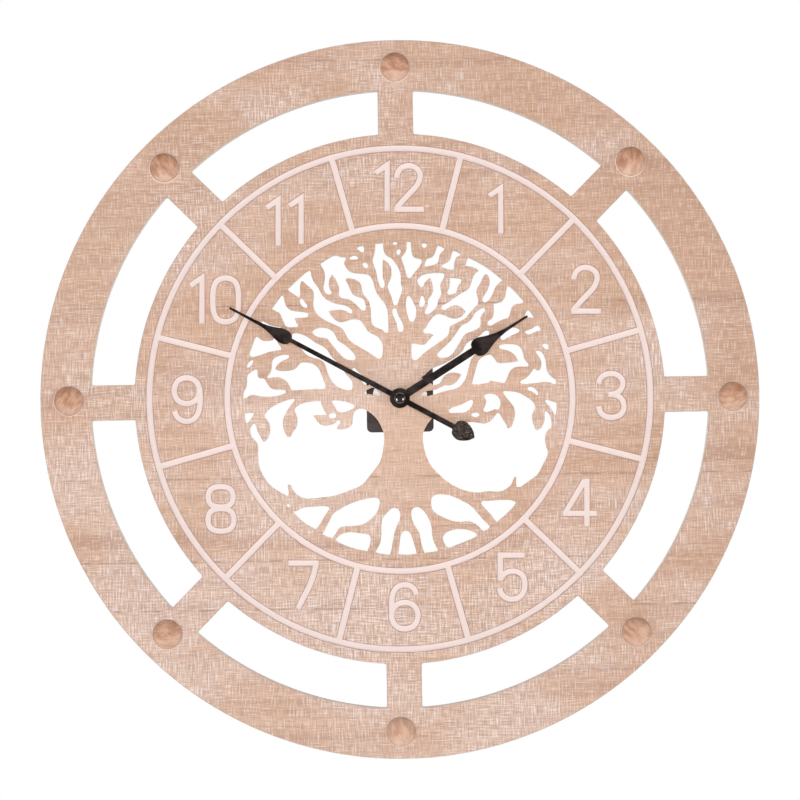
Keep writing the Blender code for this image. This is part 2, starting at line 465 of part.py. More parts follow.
def clear_scene():
    """Empty the scene, keeping the file that is open."""
    for obj in list(bpy.data.objects):
        bpy.data.objects.remove(obj, do_unlink=True)
    for old in list(bpy.data.collections):
        bpy.data.collections.remove(old)


def make_collection(name):
    """A collection under the scene."""
    made = bpy.data.collections.new(name)
    bpy.context.scene.collection.children.link(made)
    return made


def make_material(name, colour, roughness, metallic=0.0):
    """A plain finish: colour, roughness and how metallic it is."""
    material = bpy.data.materials.new(name)
    material.use_nodes = True
    shader = material.node_tree.nodes["Principled BSDF"]
    shader.inputs["Base Color"].default_value = (*colour, 1.0)
    shader.inputs["Roughness"].default_value = roughness
    shader.inputs["Metallic"].default_value = metallic
    material.diffuse_color = (*colour, 1.0)
    return material


def place(obj, collection, spot=(0.0, 0.0, 0.0), material=None):
    """Put an object into the clock's frame, at a spot in it."""
    if obj.name not in collection.objects:
        collection.objects.link(obj)
    obj.parent = bpy.data.objects[FRAME_NAME]
    obj.location = spot
    if material is not None:
        obj.data.materials.clear()
        obj.data.materials.append(material)
    return obj


def outline_mesh(name, loops, thick):
    """A flat plate with its back at Z zero: the first loop is its edge, the rest are holes."""
    curve = bpy.data.curves.new(name, "CURVE")
    curve.dimensions = "2D"
    curve.fill_mode = "BOTH"
    curve.extrude = thick / 2
    for loop in loops:
        spline = curve.splines.new("POLY")
        spline.points.add(len(loop) - 1)
        spline.use_cyclic_u = True
        for point, (x, y) in zip(spline.points, loop):
            point.co = (x, y, 0.0, 1.0)
    drawn = bpy.data.objects.new(name, curve)
    bpy.context.scene.collection.objects.link(drawn)
    bpy.context.view_layer.update()
    evaluated = drawn.evaluated_get(bpy.context.evaluated_depsgraph_get())
    mesh = bpy.data.meshes.new_from_object(evaluated)
    bpy.data.objects.remove(drawn)
    bpy.data.curves.remove(curve)
    work = bmesh.new()
    work.from_mesh(mesh)
    bmesh.ops.remove_doubles(work, verts=work.verts, dist=MERGE)
    bmesh.ops.translate(work, verts=work.verts, vec=(0.0, 0.0, thick / 2))
    work.to_mesh(mesh)
    work.free()
    mesh.name = name
    return mesh


def plate(name, loops, level, thick, collection, material=None, spot=(0.0, 0.0)):
    """A flat piece whose back is at a level and whose outline is drawn about a spot."""
    obj = bpy.data.objects.new(name, outline_mesh(name, loops, thick))
    return place(obj, collection, (spot[0], spot[1], level), material)


def turned(name, profile, steps, collection, material=None, spot=(0.0, 0.0, 0.0), closed=False):
    """A turned piece: the profile of radius and height runs down its outer side."""
    mesh = bpy.data.meshes.new(name)
    work = bmesh.new()
    points = [work.verts.new((radius, 0.0, height)) for radius, height in profile]
    for first, second in zip(points, points[1:]):
        work.edges.new((first, second))
    if closed:
        work.edges.new((points[-1], points[0]))
    work.to_mesh(mesh)
    work.free()
    obj = bpy.data.objects.new(name, mesh)
    screw = obj.modifiers.new("turn", "SCREW")
    screw.steps = steps
    screw.render_steps = steps
    screw.use_merge_vertices = True
    screw.merge_threshold = MERGE
    return place(obj, collection, spot, material)


def ring(name, outer, bore, level, thick, steps, collection, material=None, spot=(0.0, 0.0)):
    """A flat washer with its back at a level."""
    profile = [(outer, thick), (outer, 0.0), (bore, 0.0), (bore, thick)]
    return turned(name, profile, steps, collection, material, (spot[0], spot[1], level), True)


def circle_points(radius, steps, start=0.0, centre=(0.0, 0.0)):
    """Points round a circle."""
    turn = 2 * math.pi / steps
    return [
        (centre[0] + radius * math.cos(start + turn * i), centre[1] + radius * math.sin(start + turn * i))
        for i in range(steps)
    ]


def rounded_box(left, right, low, high, corner, steps):
    """A rectangle with round corners."""
    points = []
    corners = ((right - corner, high - corner), (left + corner, high - corner),
               (left + corner, low + corner), (right - corner, low + corner))
    for quarter, (x, y) in enumerate(corners):
        for i in range(steps + 1):
            angle = math.pi / 2 * (quarter + i / steps)
            points.append((x + corner * math.cos(angle), y + corner * math.sin(angle)))
    return points


def box_points(left, right, low, high):
    """A plain rectangle."""
    return [(right, high), (left, high), (left, low), (right, low)]


def smooth_loop(picks, scale, lean):
    """A closed smooth line through picked points, with more steps where it bends more."""
    turn = Matrix.Rotation(lean, 2)
    spots = [turn @ (Vector((pick[0], pick[1])) * scale) for pick in picks]
    sharp = [len(pick) == 3 for pick in picks]
    count = len(spots)
    loop = []
    for i in range(count):
        before, here, after, beyond = (spots[(i + k) % count] for k in (-1, 0, 1, 2))
        chord = after - here
        leave = chord.normalized() if sharp[i] else (after - before).normalized()
        arrive = chord.normalized() if sharp[(i + 1) % count] else (beyond - here).normalized()
        reach = chord.length / 3
        bend = chord.angle(leave) + chord.angle(arrive)
        steps = max(1, math.ceil(bend / STEP_TURN))
        first = here + leave * reach
        second = after - arrive * reach
        for k in range(steps):
            t = k / steps
            s = 1 - t
            point = here * s ** 3 + first * 3 * s * s * t + second * 3 * s * t * t + after * t ** 3
            loop.append((point.x, point.y))
    return loop


def window_loop(index):
    """One window between two spokes, bounded by two arcs and two spoke edges."""
    middle = 2 * math.pi * (index + 0.5) / SPOKES
    half = SPOKE_WIDTH / 2
    loop = []
    for radius, direction in ((WINDOW_OUTER, 1), (WINDOW_INNER, -1)):
        reach = math.pi / SPOKES - math.asin(half / radius)
        for i in range(WINDOW_STEPS + 1):
            angle = middle + direction * reach * (2 * i / WINDOW_STEPS - 1)
            loop.append((radius * math.cos(angle), radius * math.sin(angle)))
    return loop


def gear_loop(teeth, module, phase):
    """A toothed wheel's outline with a tooth at the phase angle."""
    pitch = 2 * math.pi / teeth
    radius = teeth * module / 2
    tip = radius + TOOTH_TIP_SHARE * module
    root = radius - TOOTH_ROOT_SHARE * module
    half = TOOTH_FLAT_SHARE * pitch * radius / tip
    loop = []
    for i in range(teeth):
        middle = phase + pitch * i
        for reach, angle in ((tip, middle - half), (tip, middle + half), (root, middle + pitch / 2)):
            loop.append((reach * math.cos(angle), reach * math.sin(angle)))
    return loop


def meshed_phase(bearing, phase, teeth, other_teeth):
    """The phase that puts the other wheel's gap on this wheel's tooth, across a bearing."""
    offset = (bearing - phase) * teeth / (2 * math.pi)
    return bearing + math.pi - (0.5 - offset) * 2 * math.pi / other_teeth


def beside(spot, bearing, teeth, other_teeth, module):
    """Where the other wheel's arbor stands, at their centre distance plus a little slack."""
    reach = (teeth + other_teeth) * module / 2 + MESH_SLACK
    return (spot[0] + reach * math.cos(bearing), spot[1] + reach * math.sin(bearing))


def hull(obj):
    """Keep a cutter out of the model, shown as wires."""
    obj.hide_render = True
    obj.display_type = "WIRE"
    return obj


def combine(target, tools, operation):
    """Cut or join with each tool in turn."""
    for tool in tools:
        boolean = target.modifiers.new(tool.name, "BOOLEAN")
        boolean.operation = operation
        boolean.solver = "EXACT"
        boolean.object = tool
    return target


def shade_round(obj, limit=math.radians(35.0)):
    """Smooth shading with edges kept sharp where the form turns."""
    obj.data.shade_smooth()
    obj.data.set_sharp_from_angle(angle=limit)
    return obj


def hand_side(length, half_width, shares, direction=1):
    """One edge of a hand from the hub to its tip, and back along the other edge."""
    out = [(direction * length * along, half_width * across) for along, across in shares]
    back = [(x, -y) for x, y in reversed(out)]
    return out + [(direction * length * TIP_SHARE, 0.0)] + back


def hub_arc(start, end, steps):
    """Points round the hub from one angle to another, both ends left out."""
    span = (end - start) / (steps + 1)
    angles = [start + span * (i + 1) for i in range(steps)]
    return [(HUB_RADIUS * math.cos(angle), HUB_RADIUS * math.sin(angle)) for angle in angles]


def hand_loop(angle, length, half_width, shares, tail=None):
    """A hand's outline turned to its angle, counted from twelve against the clock."""
    blade = hand_side(length, half_width, shares)
    neck = math.asin(blade[0][1] / HUB_RADIUS)
    if tail is None:
        loop = blade[::-1] + hub_arc(neck - 2 * math.pi, -neck, HUB_STEPS)
    else:
        rear = hand_side(*tail, direction=-1)
        rear_neck = math.asin(rear[0][1] / HUB_RADIUS)
        upper = hub_arc(neck, math.pi - rear_neck, HUB_STEPS // 2)
        lower = [(x, -y) for x, y in reversed(upper)]
        loop = blade[::-1] + upper + rear + lower
    turn = Matrix.Rotation(angle + math.pi / 2, 2)
    return [tuple(turn @ Vector(point)) for point in loop]


def wheel(name, layers, reach, collection, material, spot, bore=0.0, tube=None):
    """A toothed wheel with its pinion and arbor as one solid.

    Each layer gives teeth, module, phase, level and thickness, and reach is where the arbor ends.
    """
    back, front = reach
    radius, steps = (PIN_RADIUS, PIN_STEPS) if tube is None else (tube, TUBE_STEPS)
    body = bpy.data.objects.new(name, cylinder_mesh(name, radius, front - back, steps))
    place(body, collection, (spot[0], spot[1], back), material)
    for number, (teeth, module, phase, level, thick) in enumerate(layers):
        label = f"{name}_layer_{number + 1}"
        layer = plate(label, [gear_loop(teeth, module, phase)], level, thick, CUTTERS, None, spot)
        hull(layer)
        combine(body, [layer], "UNION")
    if bore:
        depth = front - back + 2 * OVERRUN
        drill = bpy.data.objects.new(f"{name}_bore", cylinder_mesh(name, bore, depth, TUBE_STEPS))
        hull(place(drill, CUTTERS, (spot[0], spot[1], back - OVERRUN)))
        combine(body, [drill], "DIFFERENCE")
    return body


def cylinder_mesh(name, radius, height, steps):
    """A plain cylinder standing on Z zero."""
    mesh = bpy.data.meshes.new(name)
    work = bmesh.new()
    lift = Matrix.Translation((0.0, 0.0, height / 2))
    bmesh.ops.create_cone(work, cap_ends=True, segments=steps, radius1=radius, radius2=radius,
                          depth=height, matrix=lift)
    work.to_mesh(mesh)
    work.free()
    return mesh


def drill(name, radius, steps, spot, level, height):
    """A round cutter standing at a level."""
    made = bpy.data.objects.new(name, cylinder_mesh(name, radius, height, steps))
    return hull(place(made, CUTTERS, (spot[0], spot[1], level)))


def groove_section(radius):
    """The cross section of a ring groove's cutter, from its outer top round to its inner top."""
    half = GROOVE_WIDTH / 2
    floor = half - GROOVE_SLOPE
    top = half + GROOVE_SLOPE * OVERRUN / GROOVE_DEPTH
    return [(radius + top, OVERRUN), (radius + floor, -GROOVE_DEPTH),
            (radius - floor, -GROOVE_DEPTH), (radius - top, OVERRUN)]


def divider_mesh(name):
    """A straight groove's cutter along X, from the inner ring groove to the outer."""
    half = GROOVE_WIDTH / 2
    floor = half - GROOVE_SLOPE
    top = half + GROOVE_SLOPE * OVERRUN / GROOVE_DEPTH
    section = [(-top, OVERRUN), (-floor, -GROOVE_DEPTH), (floor, -GROOVE_DEPTH), (top, OVERRUN)]
    work = bmesh.new()
    verts = [work.verts.new((INNER_GROOVE_RADIUS, y, z)) for y, z in section]
    face = work.faces.new(verts)
    grown = bmesh.ops.extrude_face_region(work, geom=[face])
    moved = [item for item in grown["geom"] if isinstance(item, bmesh.types.BMVert)]
    bmesh.ops.translate(work, verts=moved, vec=(OUTER_GROOVE_RADIUS - INNER_GROOVE_RADIUS, 0.0, 0.0))
    bmesh.ops.recalc_face_normals(work, faces=work.faces)
    mesh = bpy.data.meshes.new(name)
    work.to_mesh(mesh)
    work.free()
    return mesh


clear_scene()
PARTS = make_collection("tree_of_life_wall_clock")
CUTTERS = make_collection("cutters")
CUTTERS.hide_render = True
frame = bpy.data.objects.new(FRAME_NAME, None)
PARTS.objects.link(frame)
frame.location = (0.0, 0.0, -NAIL_Y)
frame.rotation_euler = (math.pi / 2, 0.0, 0.0)

WOOD = make_material("whitewashed_wood", (0.74, 0.50, 0.37), 0.62)
BUTTON_WOOD = make_material("button_wood", (0.52, 0.28, 0.17), 0.45)
BLACK_METAL = make_material("black_enamel", (0.006, 0.006, 0.006), 0.3)
CASE_PLASTIC = make_material("dark_plastic", (0.055, 0.045, 0.047), 0.5)
COVER_PLASTIC = make_material("black_plastic", (0.015, 0.015, 0.016), 0.5)
PAD_FIBRE = make_material("pale_fibre", (0.72, 0.63, 0.56), 0.8)
RUBBER = make_material("black_rubber", (0.02, 0.02, 0.02), 0.85)
BRASS = make_material("brass", (0.72, 0.48, 0.16), 0.3, 1.0)
STEEL = make_material("steel", (0.55, 0.55, 0.56), 0.35, 1.0)
WHEEL_PLASTIC = make_material("white_nylon", (0.78, 0.77, 0.72), 0.45)
ROTOR_PLASTIC = make_material("rotor_grey", (0.10, 0.10, 0.11), 0.4)
COPPER = make_material("copper_wire", (0.65, 0.22, 0.09), 0.4, 1.0)
CIRCUIT_GREEN = make_material("circuit_green", (0.02, 0.13, 0.05), 0.45)
CELL_JACKET = make_material("cell_jacket", (0.03, 0.16, 0.10), 0.35)

# Dial board
blank = cylinder_mesh("dial_board", BOARD_RADIUS, BOARD_THICK, BOARD_STEPS)
dial_board = place(bpy.data.objects.new("dial_board", blank), PARTS, (0.0, 0.0, BOARD_LEVEL), WOOD)
grooves = turned("outer_groove", groove_section(OUTER_GROOVE_RADIUS), GROOVE_STEPS, CUTTERS,
                 None, (0.0, 0.0, BOARD_FACE), True)
hull(grooves)
inner = turned("inner_groove", groove_section(INNER_GROOVE_RADIUS), GROOVE_STEPS, CUTTERS,
               None, (0.0, 0.0, BOARD_FACE), True)
hull(inner)
lines = [inner]
for hour in range(HOURS):
    name = f"divider_{hour + 1}"
    line = bpy.data.objects.new(name, divider_mesh(name))
    hull(place(line, CUTTERS, (0.0, 0.0, BOARD_FACE)))
    line.rotation_euler = (0.0, 0.0, 2 * math.pi * (hour + 0.5) / HOURS)
    lines.append(line)
combine(grooves, lines, "UNION")
combine(dial_board, [grooves], "DIFFERENCE")
openings = [window_loop(i) for i in range(SPOKES)]
openings += [smooth_loop(picks, TREE_RADIUS * SHARE, PICK_LEAN) for picks in BRANCH_SHARES]
openings.append(circle_points(ARBOR_HOLE_RADIUS, ROUND_STEPS))
fretwork = plate("fretwork", openings, BOARD_LEVEL - OVERRUN, BOARD_THICK + 2 * OVERRUN, CUTTERS)
hull(fretwork)

combine(dial_board, [fretwork], "DIFFERENCE")

# Rim buttons, glued on the face
dome_angles = [math.pi / 2 * share for share in DOME_SHARES]
dome_profile = [(BUTTON_RADIUS * math.sin(angle), BUTTON_EDGE + BUTTON_CROWN * math.cos(angle))
                for angle in dome_angles]
dome_profile += [(BUTTON_RADIUS, 0.0), (0.0, 0.0)]
for number, (degrees, share) in enumerate(BUTTON_PLACE_SHARES):
    angle = math.pi / 2 - math.radians(degrees)
    reach = BUTTON_RING * share
    spot = (reach * math.cos(angle), reach * math.sin(angle), BOARD_FACE + SEAT)
    button = turned(f"button_{number + 1}", dome_profile, BUTTON_STEPS, PARTS, BUTTON_WOOD, spot)
    shade_round(button)

# Movement case with its threaded bush, open at the back
case_loop = rounded_box(-CASE_HALF, CASE_HALF, -CASE_HALF, CASE_HALF, CASE_CORNER, CASE_CORNER_STEPS)
movement_case = plate("movement_case", [case_loop], CASE_BACK, CASE_DEPTH - CASE_BACK, PARTS, CASE_PLASTIC)
bush = drill("bush_blank", BUSH_RADIUS, ROUND_STEPS, (0.0, 0.0), CASE_FRONT_WALL, BUSH_END - CASE_FRONT_WALL)
combine(movement_case, [bush], "UNION")
cavity_height = CASE_FRONT_WALL - CASE_BACK + OVERRUN
train_room = plate("train_room", [box_points(-INNER_HALF, INNER_HALF, TRAIN_FLOOR, INNER_HALF)],
                   CASE_BACK - OVERRUN, cavity_height, CUTTERS)
cell_room = plate("cell_room", [box_points(-INNER_HALF, INNER_HALF, -INNER_HALF, BAY_TOP)],
                  CASE_BACK - OVERRUN, cavity_height, CUTTERS)
hanger_notch = plate(
    "hanger_notch", [box_points(-HANGER_WIDTH / 2 - SEAT, HANGER_WIDTH / 2 + SEAT,
                                INNER_HALF - OVERRUN, CASE_HALF + OVERRUN)],
    CASE_BACK - OVERRUN, HANGER_LEVEL + HANGER_THICK + SEAT - CASE_BACK + OVERRUN, CUTTERS)
bush_bore = drill("bush_bore", BUSH_BORE, ROUND_STEPS, (0.0, 0.0), CASE_FRONT_WALL - OVERRUN,
                  BUSH_END - CASE_FRONT_WALL + 2 * OVERRUN)
for cutter in (train_room, cell_room, hanger_notch):
    hull(cutter)
combine(movement_case, [train_room, cell_room, hanger_notch, bush_bore], "DIFFERENCE")

# Where each arbor stands, as one looks at the dial
centre = (0.0, 0.0)
minute_spot = beside(centre, MINUTE_WHEEL_BEARING, CANNON_TEETH, MINUTE_TEETH, MOTION_MODULE)
setting_spot = beside(minute_spot, SETTING_BEARING, MINUTE_TEETH, SETTING_TEETH, MOTION_MODULE)
third_spot = beside(centre, THIRD_BEARING, CENTRE_TEETH, THIRD_PINION_TEETH, TRAIN_MODULE)
middle_spot = beside(third_spot, MIDDLE_BEARING, THIRD_TEETH, MIDDLE_PINION_TEETH, TRAIN_MODULE)
rotor_spot = beside(middle_spot, ROTOR_BEARING, MIDDLE_TEETH, ROTOR_PINION_TEETH, TRAIN_MODULE)

# Rear cover with its pivot holes and the window for the setting knob
cover_loop = rounded_box(-CASE_HALF, CASE_HALF, BAY_TOP, CASE_HALF, CASE_CORNER, CASE_CORNER_STEPS)
knob_window = circle_points(KNOB_RADIUS + SEAT, ROUND_STEPS, 0.0, setting_spot)
cover_loops = [cover_loop, knob_window]
pivots = (minute_spot, third_spot, middle_spot, rotor_spot)
cover_loops += [circle_points(PIN_RADIUS + PIVOT_PLAY, PIN_STEPS, 0.0, spot) for spot in pivots]
cover_loops.append(circle_points(ARBOR_RADIUS + PIVOT_PLAY, TUBE_STEPS, 0.0, centre))
movement_cover = plate("movement_cover", cover_loops, 0.0, COVER_THICK, PARTS, COVER_PLASTIC)
for number, spot in enumerate((*pivots, setting_spot)):
    hole = drill(f"case_pivot_{number + 1}", PIN_RADIUS + PIVOT_PLAY, PIN_STEPS, spot,
                 CASE_FRONT_WALL - OVERRUN, CASE_WALL / 2 + PIVOT_PLAY + OVERRUN)
    combine(movement_case, [hole], "DIFFERENCE")

# Hanger loop, its foot held behind the case wall
hanger_top = CASE_HALF + HANGER_RISE
neck = HANGER_WIDTH / 2
foot = HANGER_FOOT_WIDTH / 2
foot_top = INNER_HALF - SEAT
hanger_loop = rounded_box(-neck, neck, foot_top, hanger_top, HANGER_CORNER, CASE_CORNER_STEPS)
crown_count = 2 * (CASE_CORNER_STEPS + 1)
hanger_loop = hanger_loop[:crown_count]
hanger_loop += [(-neck, foot_top), (-foot, foot_top), (-foot, foot_top - HANGER_FOOT_HEIGHT),
                (foot, foot_top - HANGER_FOOT_HEIGHT), (foot, foot_top), (neck, foot_top)]
slot_low = NAIL_Y - NAIL_SLOT_HEIGHT
nail_slot = rounded_box(-NAIL_SLOT_HALF_WIDTH, NAIL_SLOT_HALF_WIDTH, slot_low, NAIL_Y,
                        NAIL_SLOT_HEIGHT * NAIL_CORNER_SHARE, CASE_CORNER_STEPS)
hanger = plate("hanger", [hanger_loop, nail_slot], HANGER_LEVEL, HANGER_THICK, PARTS, STEEL)

# What clamps the board: rubber, pad, washer and nut
rubber_washer = ring("rubber_washer", RUBBER_RADIUS, BUSH_RADIUS + SEAT, RUBBER_LEVEL, RUBBER_THICK,
                     ROUND_STEPS, PARTS, RUBBER)
mounting_pad = ring("mounting_pad", PAD_RADIUS, BUSH_RADIUS + SEAT, PAD_LEVEL, PAD_THICK,
                    PAD_STEPS, PARTS, PAD_FIBRE)
brass_washer = ring("brass_washer", WASHER_RADIUS, BUSH_RADIUS + SEAT, WASHER_LEVEL, WASHER_THICK,
                    ROUND_STEPS, PARTS, BRASS)
nut_loop = circle_points(NUT_FLATS / math.sqrt(3), 6, math.pi / 6)
fixing_nut = plate("fixing_nut", [nut_loop, circle_points(BUSH_RADIUS + SEAT, ROUND_STEPS)],
                   NUT_LEVEL, NUT_THICK, PARTS, BRASS)
for part in (rubber_washer, mounting_pad, brass_washer):
    shade_round(part)

# Wheels, each phased so that its teeth stand in the gaps of the one that drives it
cannon_phase = 0.0
minute_phase = meshed_phase(MINUTE_WHEEL_BEARING, cannon_phase, CANNON_TEETH, MINUTE_TEETH)
pinion_phase = 0.0
hour_phase = meshed_phase(MINUTE_WHEEL_BEARING + math.pi, pinion_phase, MINUTE_PINION_TEETH, HOUR_TEETH)
setting_phase = meshed_phase(SETTING_BEARING, minute_phase, MINUTE_TEETH, SETTING_TEETH)
centre_phase = 0.0
third_pinion_phase = meshed_phase(THIRD_BEARING, centre_phase, CENTRE_TEETH, THIRD_PINION_TEETH)
third_phase = 0.0
middle_pinion_phase = meshed_phase(MIDDLE_BEARING, third_phase, THIRD_TEETH, MIDDLE_PINION_TEETH)
middle_phase = 0.0
rotor_phase = meshed_phase(ROTOR_BEARING, middle_phase, MIDDLE_TEETH, ROTOR_PINION_TEETH)

centre_arbor = wheel(
    "centre_arbor",
    [(CENTRE_TEETH, TRAIN_MODULE, centre_phase, CENTRE_WHEEL_LEVEL, WHEEL_THICK),
     (CANNON_TEETH, MOTION_MODULE, cannon_phase, CENTRE_WHEEL_LEVEL + WHEEL_THICK / 2,
      MINUTE_WHEEL_LEVEL + WHEEL_THICK - CENTRE_WHEEL_LEVEL - WHEEL_THICK / 2)],
    (PIN_BACK, ARBOR_END), PARTS, BRASS, centre, tube=ARBOR_RADIUS)
minute_wheel = wheel(
    "minute_wheel",
    [(MINUTE_TEETH, MOTION_MODULE, minute_phase, MINUTE_WHEEL_LEVEL, WHEEL_THICK),
     (MINUTE_PINION_TEETH, HOUR_MODULE, pinion_phase, MINUTE_WHEEL_LEVEL + WHEEL_THICK / 2,
      HOUR_WHEEL_LEVEL + WHEEL_THICK - MINUTE_WHEEL_LEVEL - WHEEL_THICK / 2)],
    (PIN_BACK, PIN_FRONT), PARTS, WHEEL_PLASTIC, minute_spot)
hour_wheel = wheel(
    "hour_wheel", [(HOUR_TEETH, HOUR_MODULE, hour_phase, HOUR_WHEEL_LEVEL, WHEEL_THICK)],
    (HOUR_WHEEL_LEVEL, TUBE_END), PARTS, WHEEL_PLASTIC, centre, ARBOR_RADIUS + TUBE_PLAY, TUBE_RADIUS)
third_wheel = wheel(
    "third_wheel",
    [(THIRD_TEETH, TRAIN_MODULE, third_phase, THIRD_WHEEL_LEVEL, WHEEL_THICK),
     (THIRD_PINION_TEETH, TRAIN_MODULE, third_pinion_phase, THIRD_WHEEL_LEVEL + WHEEL_THICK / 2,
      CENTRE_WHEEL_LEVEL + WHEEL_THICK - THIRD_WHEEL_LEVEL - WHEEL_THICK / 2)],
    (PIN_BACK, PIN_FRONT), PARTS, WHEEL_PLASTIC, third_spot)
middle_wheel = wheel(
    "middle_wheel",
    [(MIDDLE_TEETH, TRAIN_MODULE, middle_phase, MIDDLE_WHEEL_LEVEL, WHEEL_THICK),
     (MIDDLE_PINION_TEETH, TRAIN_MODULE, middle_pinion_phase, MIDDLE_WHEEL_LEVEL + WHEEL_THICK / 2,
      THIRD_WHEEL_LEVEL + WHEEL_THICK - MIDDLE_WHEEL_LEVEL - WHEEL_THICK / 2)],
    (PIN_BACK, PIN_FRONT), PARTS, WHEEL_PLASTIC, middle_spot)
rotor = wheel(
    "rotor", [(ROTOR_PINION_TEETH, TRAIN_MODULE, rotor_phase, MIDDLE_WHEEL_LEVEL, WHEEL_THICK)],
    (PIN_BACK, PIN_FRONT), PARTS, ROTOR_PLASTIC, rotor_spot)
magnet = drill("rotor_magnet", MAGNET_RADIUS, COIL_STEPS, rotor_spot, MAGNET_LEVEL, MAGNET_THICK)
combine(rotor, [magnet], "UNION")

# Setting knob and its pinion, on one arbor
setting_knob = wheel(
    "setting_knob",
    [(SETTING_TEETH, MOTION_MODULE, setting_phase, MINUTE_WHEEL_LEVEL, WHEEL_THICK)],
    (KNOB_LEVEL + KNOB_THICK / 2, PIN_FRONT), PARTS, COVER_PLASTIC, setting_spot)
grip = []
for i in range(KNOB_TEETH):
    for radius, step in ((KNOB_RADIUS, 0.0), (KNOB_RADIUS, KNOB_LAND_SHARE),
                         (KNOB_RADIUS - KNOB_TOOTH_DEPTH, (1 + KNOB_LAND_SHARE) / 2)):
        angle = 2 * math.pi * (i + step) / KNOB_TEETH
        grip.append((radius * math.cos(angle), radius * math.sin(angle)))
knob_disc = hull(plate("knob_disc", [grip], KNOB_LEVEL, KNOB_THICK, CUTTERS, None, setting_spot))
combine(setting_knob, [knob_disc], "UNION")

# Hands, shown at ten to two
hour_outline = hand_loop(SHOWN_HOUR_ANGLE, HOUR_LENGTH, HOUR_HALF_WIDTH, HOUR_HAND_SHARES)
hour_eye = circle_points(TUBE_RADIUS + SEAT, ROUND_STEPS)
hour_hand = plate("hour_hand", [hour_outline, hour_eye], HOUR_HAND_LEVEL, HAND_THICK, PARTS, BLACK_METAL)
tail = (TAIL_LENGTH, TAIL_HALF_WIDTH, TAIL_SHARES)
minute_outline = hand_loop(SHOWN_MINUTE_ANGLE, MINUTE_LENGTH, MINUTE_HALF_WIDTH, MINUTE_HAND_SHARES, tail)
minute_eye = circle_points(ARBOR_RADIUS + SEAT, ROUND_STEPS)
minute_hand = plate("minute_hand", [minute_outline, minute_eye], MINUTE_HAND_LEVEL, HAND_THICK,
                    PARTS, BLACK_METAL)
cap_level = MINUTE_HAND_LEVEL + HAND_THICK + SEAT
cap_profile = [
    (CAP_RADIUS * math.sin(math.pi / 2 * share), CAP_HEIGHT * (1 - CAP_SKIRT_SHARE)
     * math.cos(math.pi / 2 * share) + CAP_HEIGHT * CAP_SKIRT_SHARE)
    for share in DOME_SHARES
]
cap_hollow = ARBOR_END - cap_level + SEAT
cap_profile += [(CAP_RADIUS, 0.0), (ARBOR_RADIUS + SEAT, 0.0), (ARBOR_RADIUS + SEAT, cap_hollow),
                (0.0, cap_hollow)]
hand_cap_nut = turned("hand_cap_nut", cap_profile, ROUND_STEPS, PARTS, BLACK_METAL, (0.0, 0.0, cap_level))
shade_round(hand_cap_nut)

# Stepper motor: a closed frame with the coil on one side and the rotor's hole in another
stator_edge = box_points(STATOR_LEFT, STATOR_RIGHT, STATOR_LOW, STATOR_HIGH)
stator_window = box_points(STATOR_LEFT + STATOR_BAR, STATOR_RIGHT - STATOR_BAR, STATOR_LOW + STATOR_BAR,
                           STATOR_HIGH - STATOR_TOP_BAR)
rotor_hole = circle_points(MAGNET_RADIUS + ROTOR_AIR_GAP, COIL_STEPS, 0.0, rotor_spot)
stator = plate("stator", [stator_edge, stator_window, rotor_hole], STATOR_LEVEL, STATOR_THICK, PARTS, STEEL)
half = COIL_HALF_LENGTH
inside = half - FLANGE_THICK
coil_profile = [
    (FLANGE_RADIUS, half), (FLANGE_RADIUS, inside), (COIL_RADIUS, inside), (COIL_RADIUS, -inside),
    (FLANGE_RADIUS, -inside), (FLANGE_RADIUS, -half), (COIL_BORE, -half), (COIL_BORE, half),
]
coil_x = STATOR_RIGHT - STATOR_BAR / 2
coil_level = STATOR_LEVEL + STATOR_THICK / 2
coil_spot = (coil_x, COIL_Y, coil_level)
coil_bobbin = turned("coil_bobbin", coil_profile, COIL_STEPS, PARTS, COPPER, coil_spot, True)
coil_bobbin.rotation_euler = (-math.pi / 2, 0.0, 0.0)
shade_round(coil_bobbin)
circuit_board = plate("circuit_board", [box_points(CIRCUIT_LEFT, CIRCUIT_RIGHT, CIRCUIT_LOW, CIRCUIT_HIGH)],
                      COVER_THICK + SEAT, CIRCUIT_THICK, PARTS, CIRCUIT_GREEN)

# Battery and its contacts
contact_x = INNER_HALF - SEAT - CONTACT_THICK
cell_end = contact_x - SEAT
tip_base = CELL_TURNED_END
cell_profile = [
    (0.0, cell_end), (CELL_TIP_RADIUS, cell_end), (CELL_TIP_RADIUS, cell_end - CELL_TIP),
    (CELL_RADIUS - tip_base, cell_end - CELL_TIP), (CELL_RADIUS, cell_end - CELL_TIP - tip_base),
    (CELL_RADIUS, cell_end - CELL_LENGTH + tip_base), (CELL_RADIUS - tip_base, cell_end - CELL_LENGTH),
    (0.0, cell_end - CELL_LENGTH),
]
battery = turned("battery", cell_profile, CELL_STEPS, PARTS, CELL_JACKET, (0.0, CELL_Y, CELL_LEVEL))
battery.rotation_euler = (0.0, math.pi / 2, 0.0)
shade_round(battery)
contact_low = CELL_Y - CONTACT_WIDTH / 2
contact_high = CELL_Y + CONTACT_WIDTH / 2
contact_base = CASE_FRONT_WALL - SEAT - CONTACT_HEIGHT
battery_flat_contact = plate(
    "battery_flat_contact", [box_points(contact_x, contact_x + CONTACT_THICK, contact_low, contact_high)],
    contact_base, CONTACT_HEIGHT, PARTS, STEEL)
spring_left = SEAT - INNER_HALF
spring_flat = spring_left + CONTACT_THICK
spring_tip = cell_end - CELL_LENGTH - SEAT
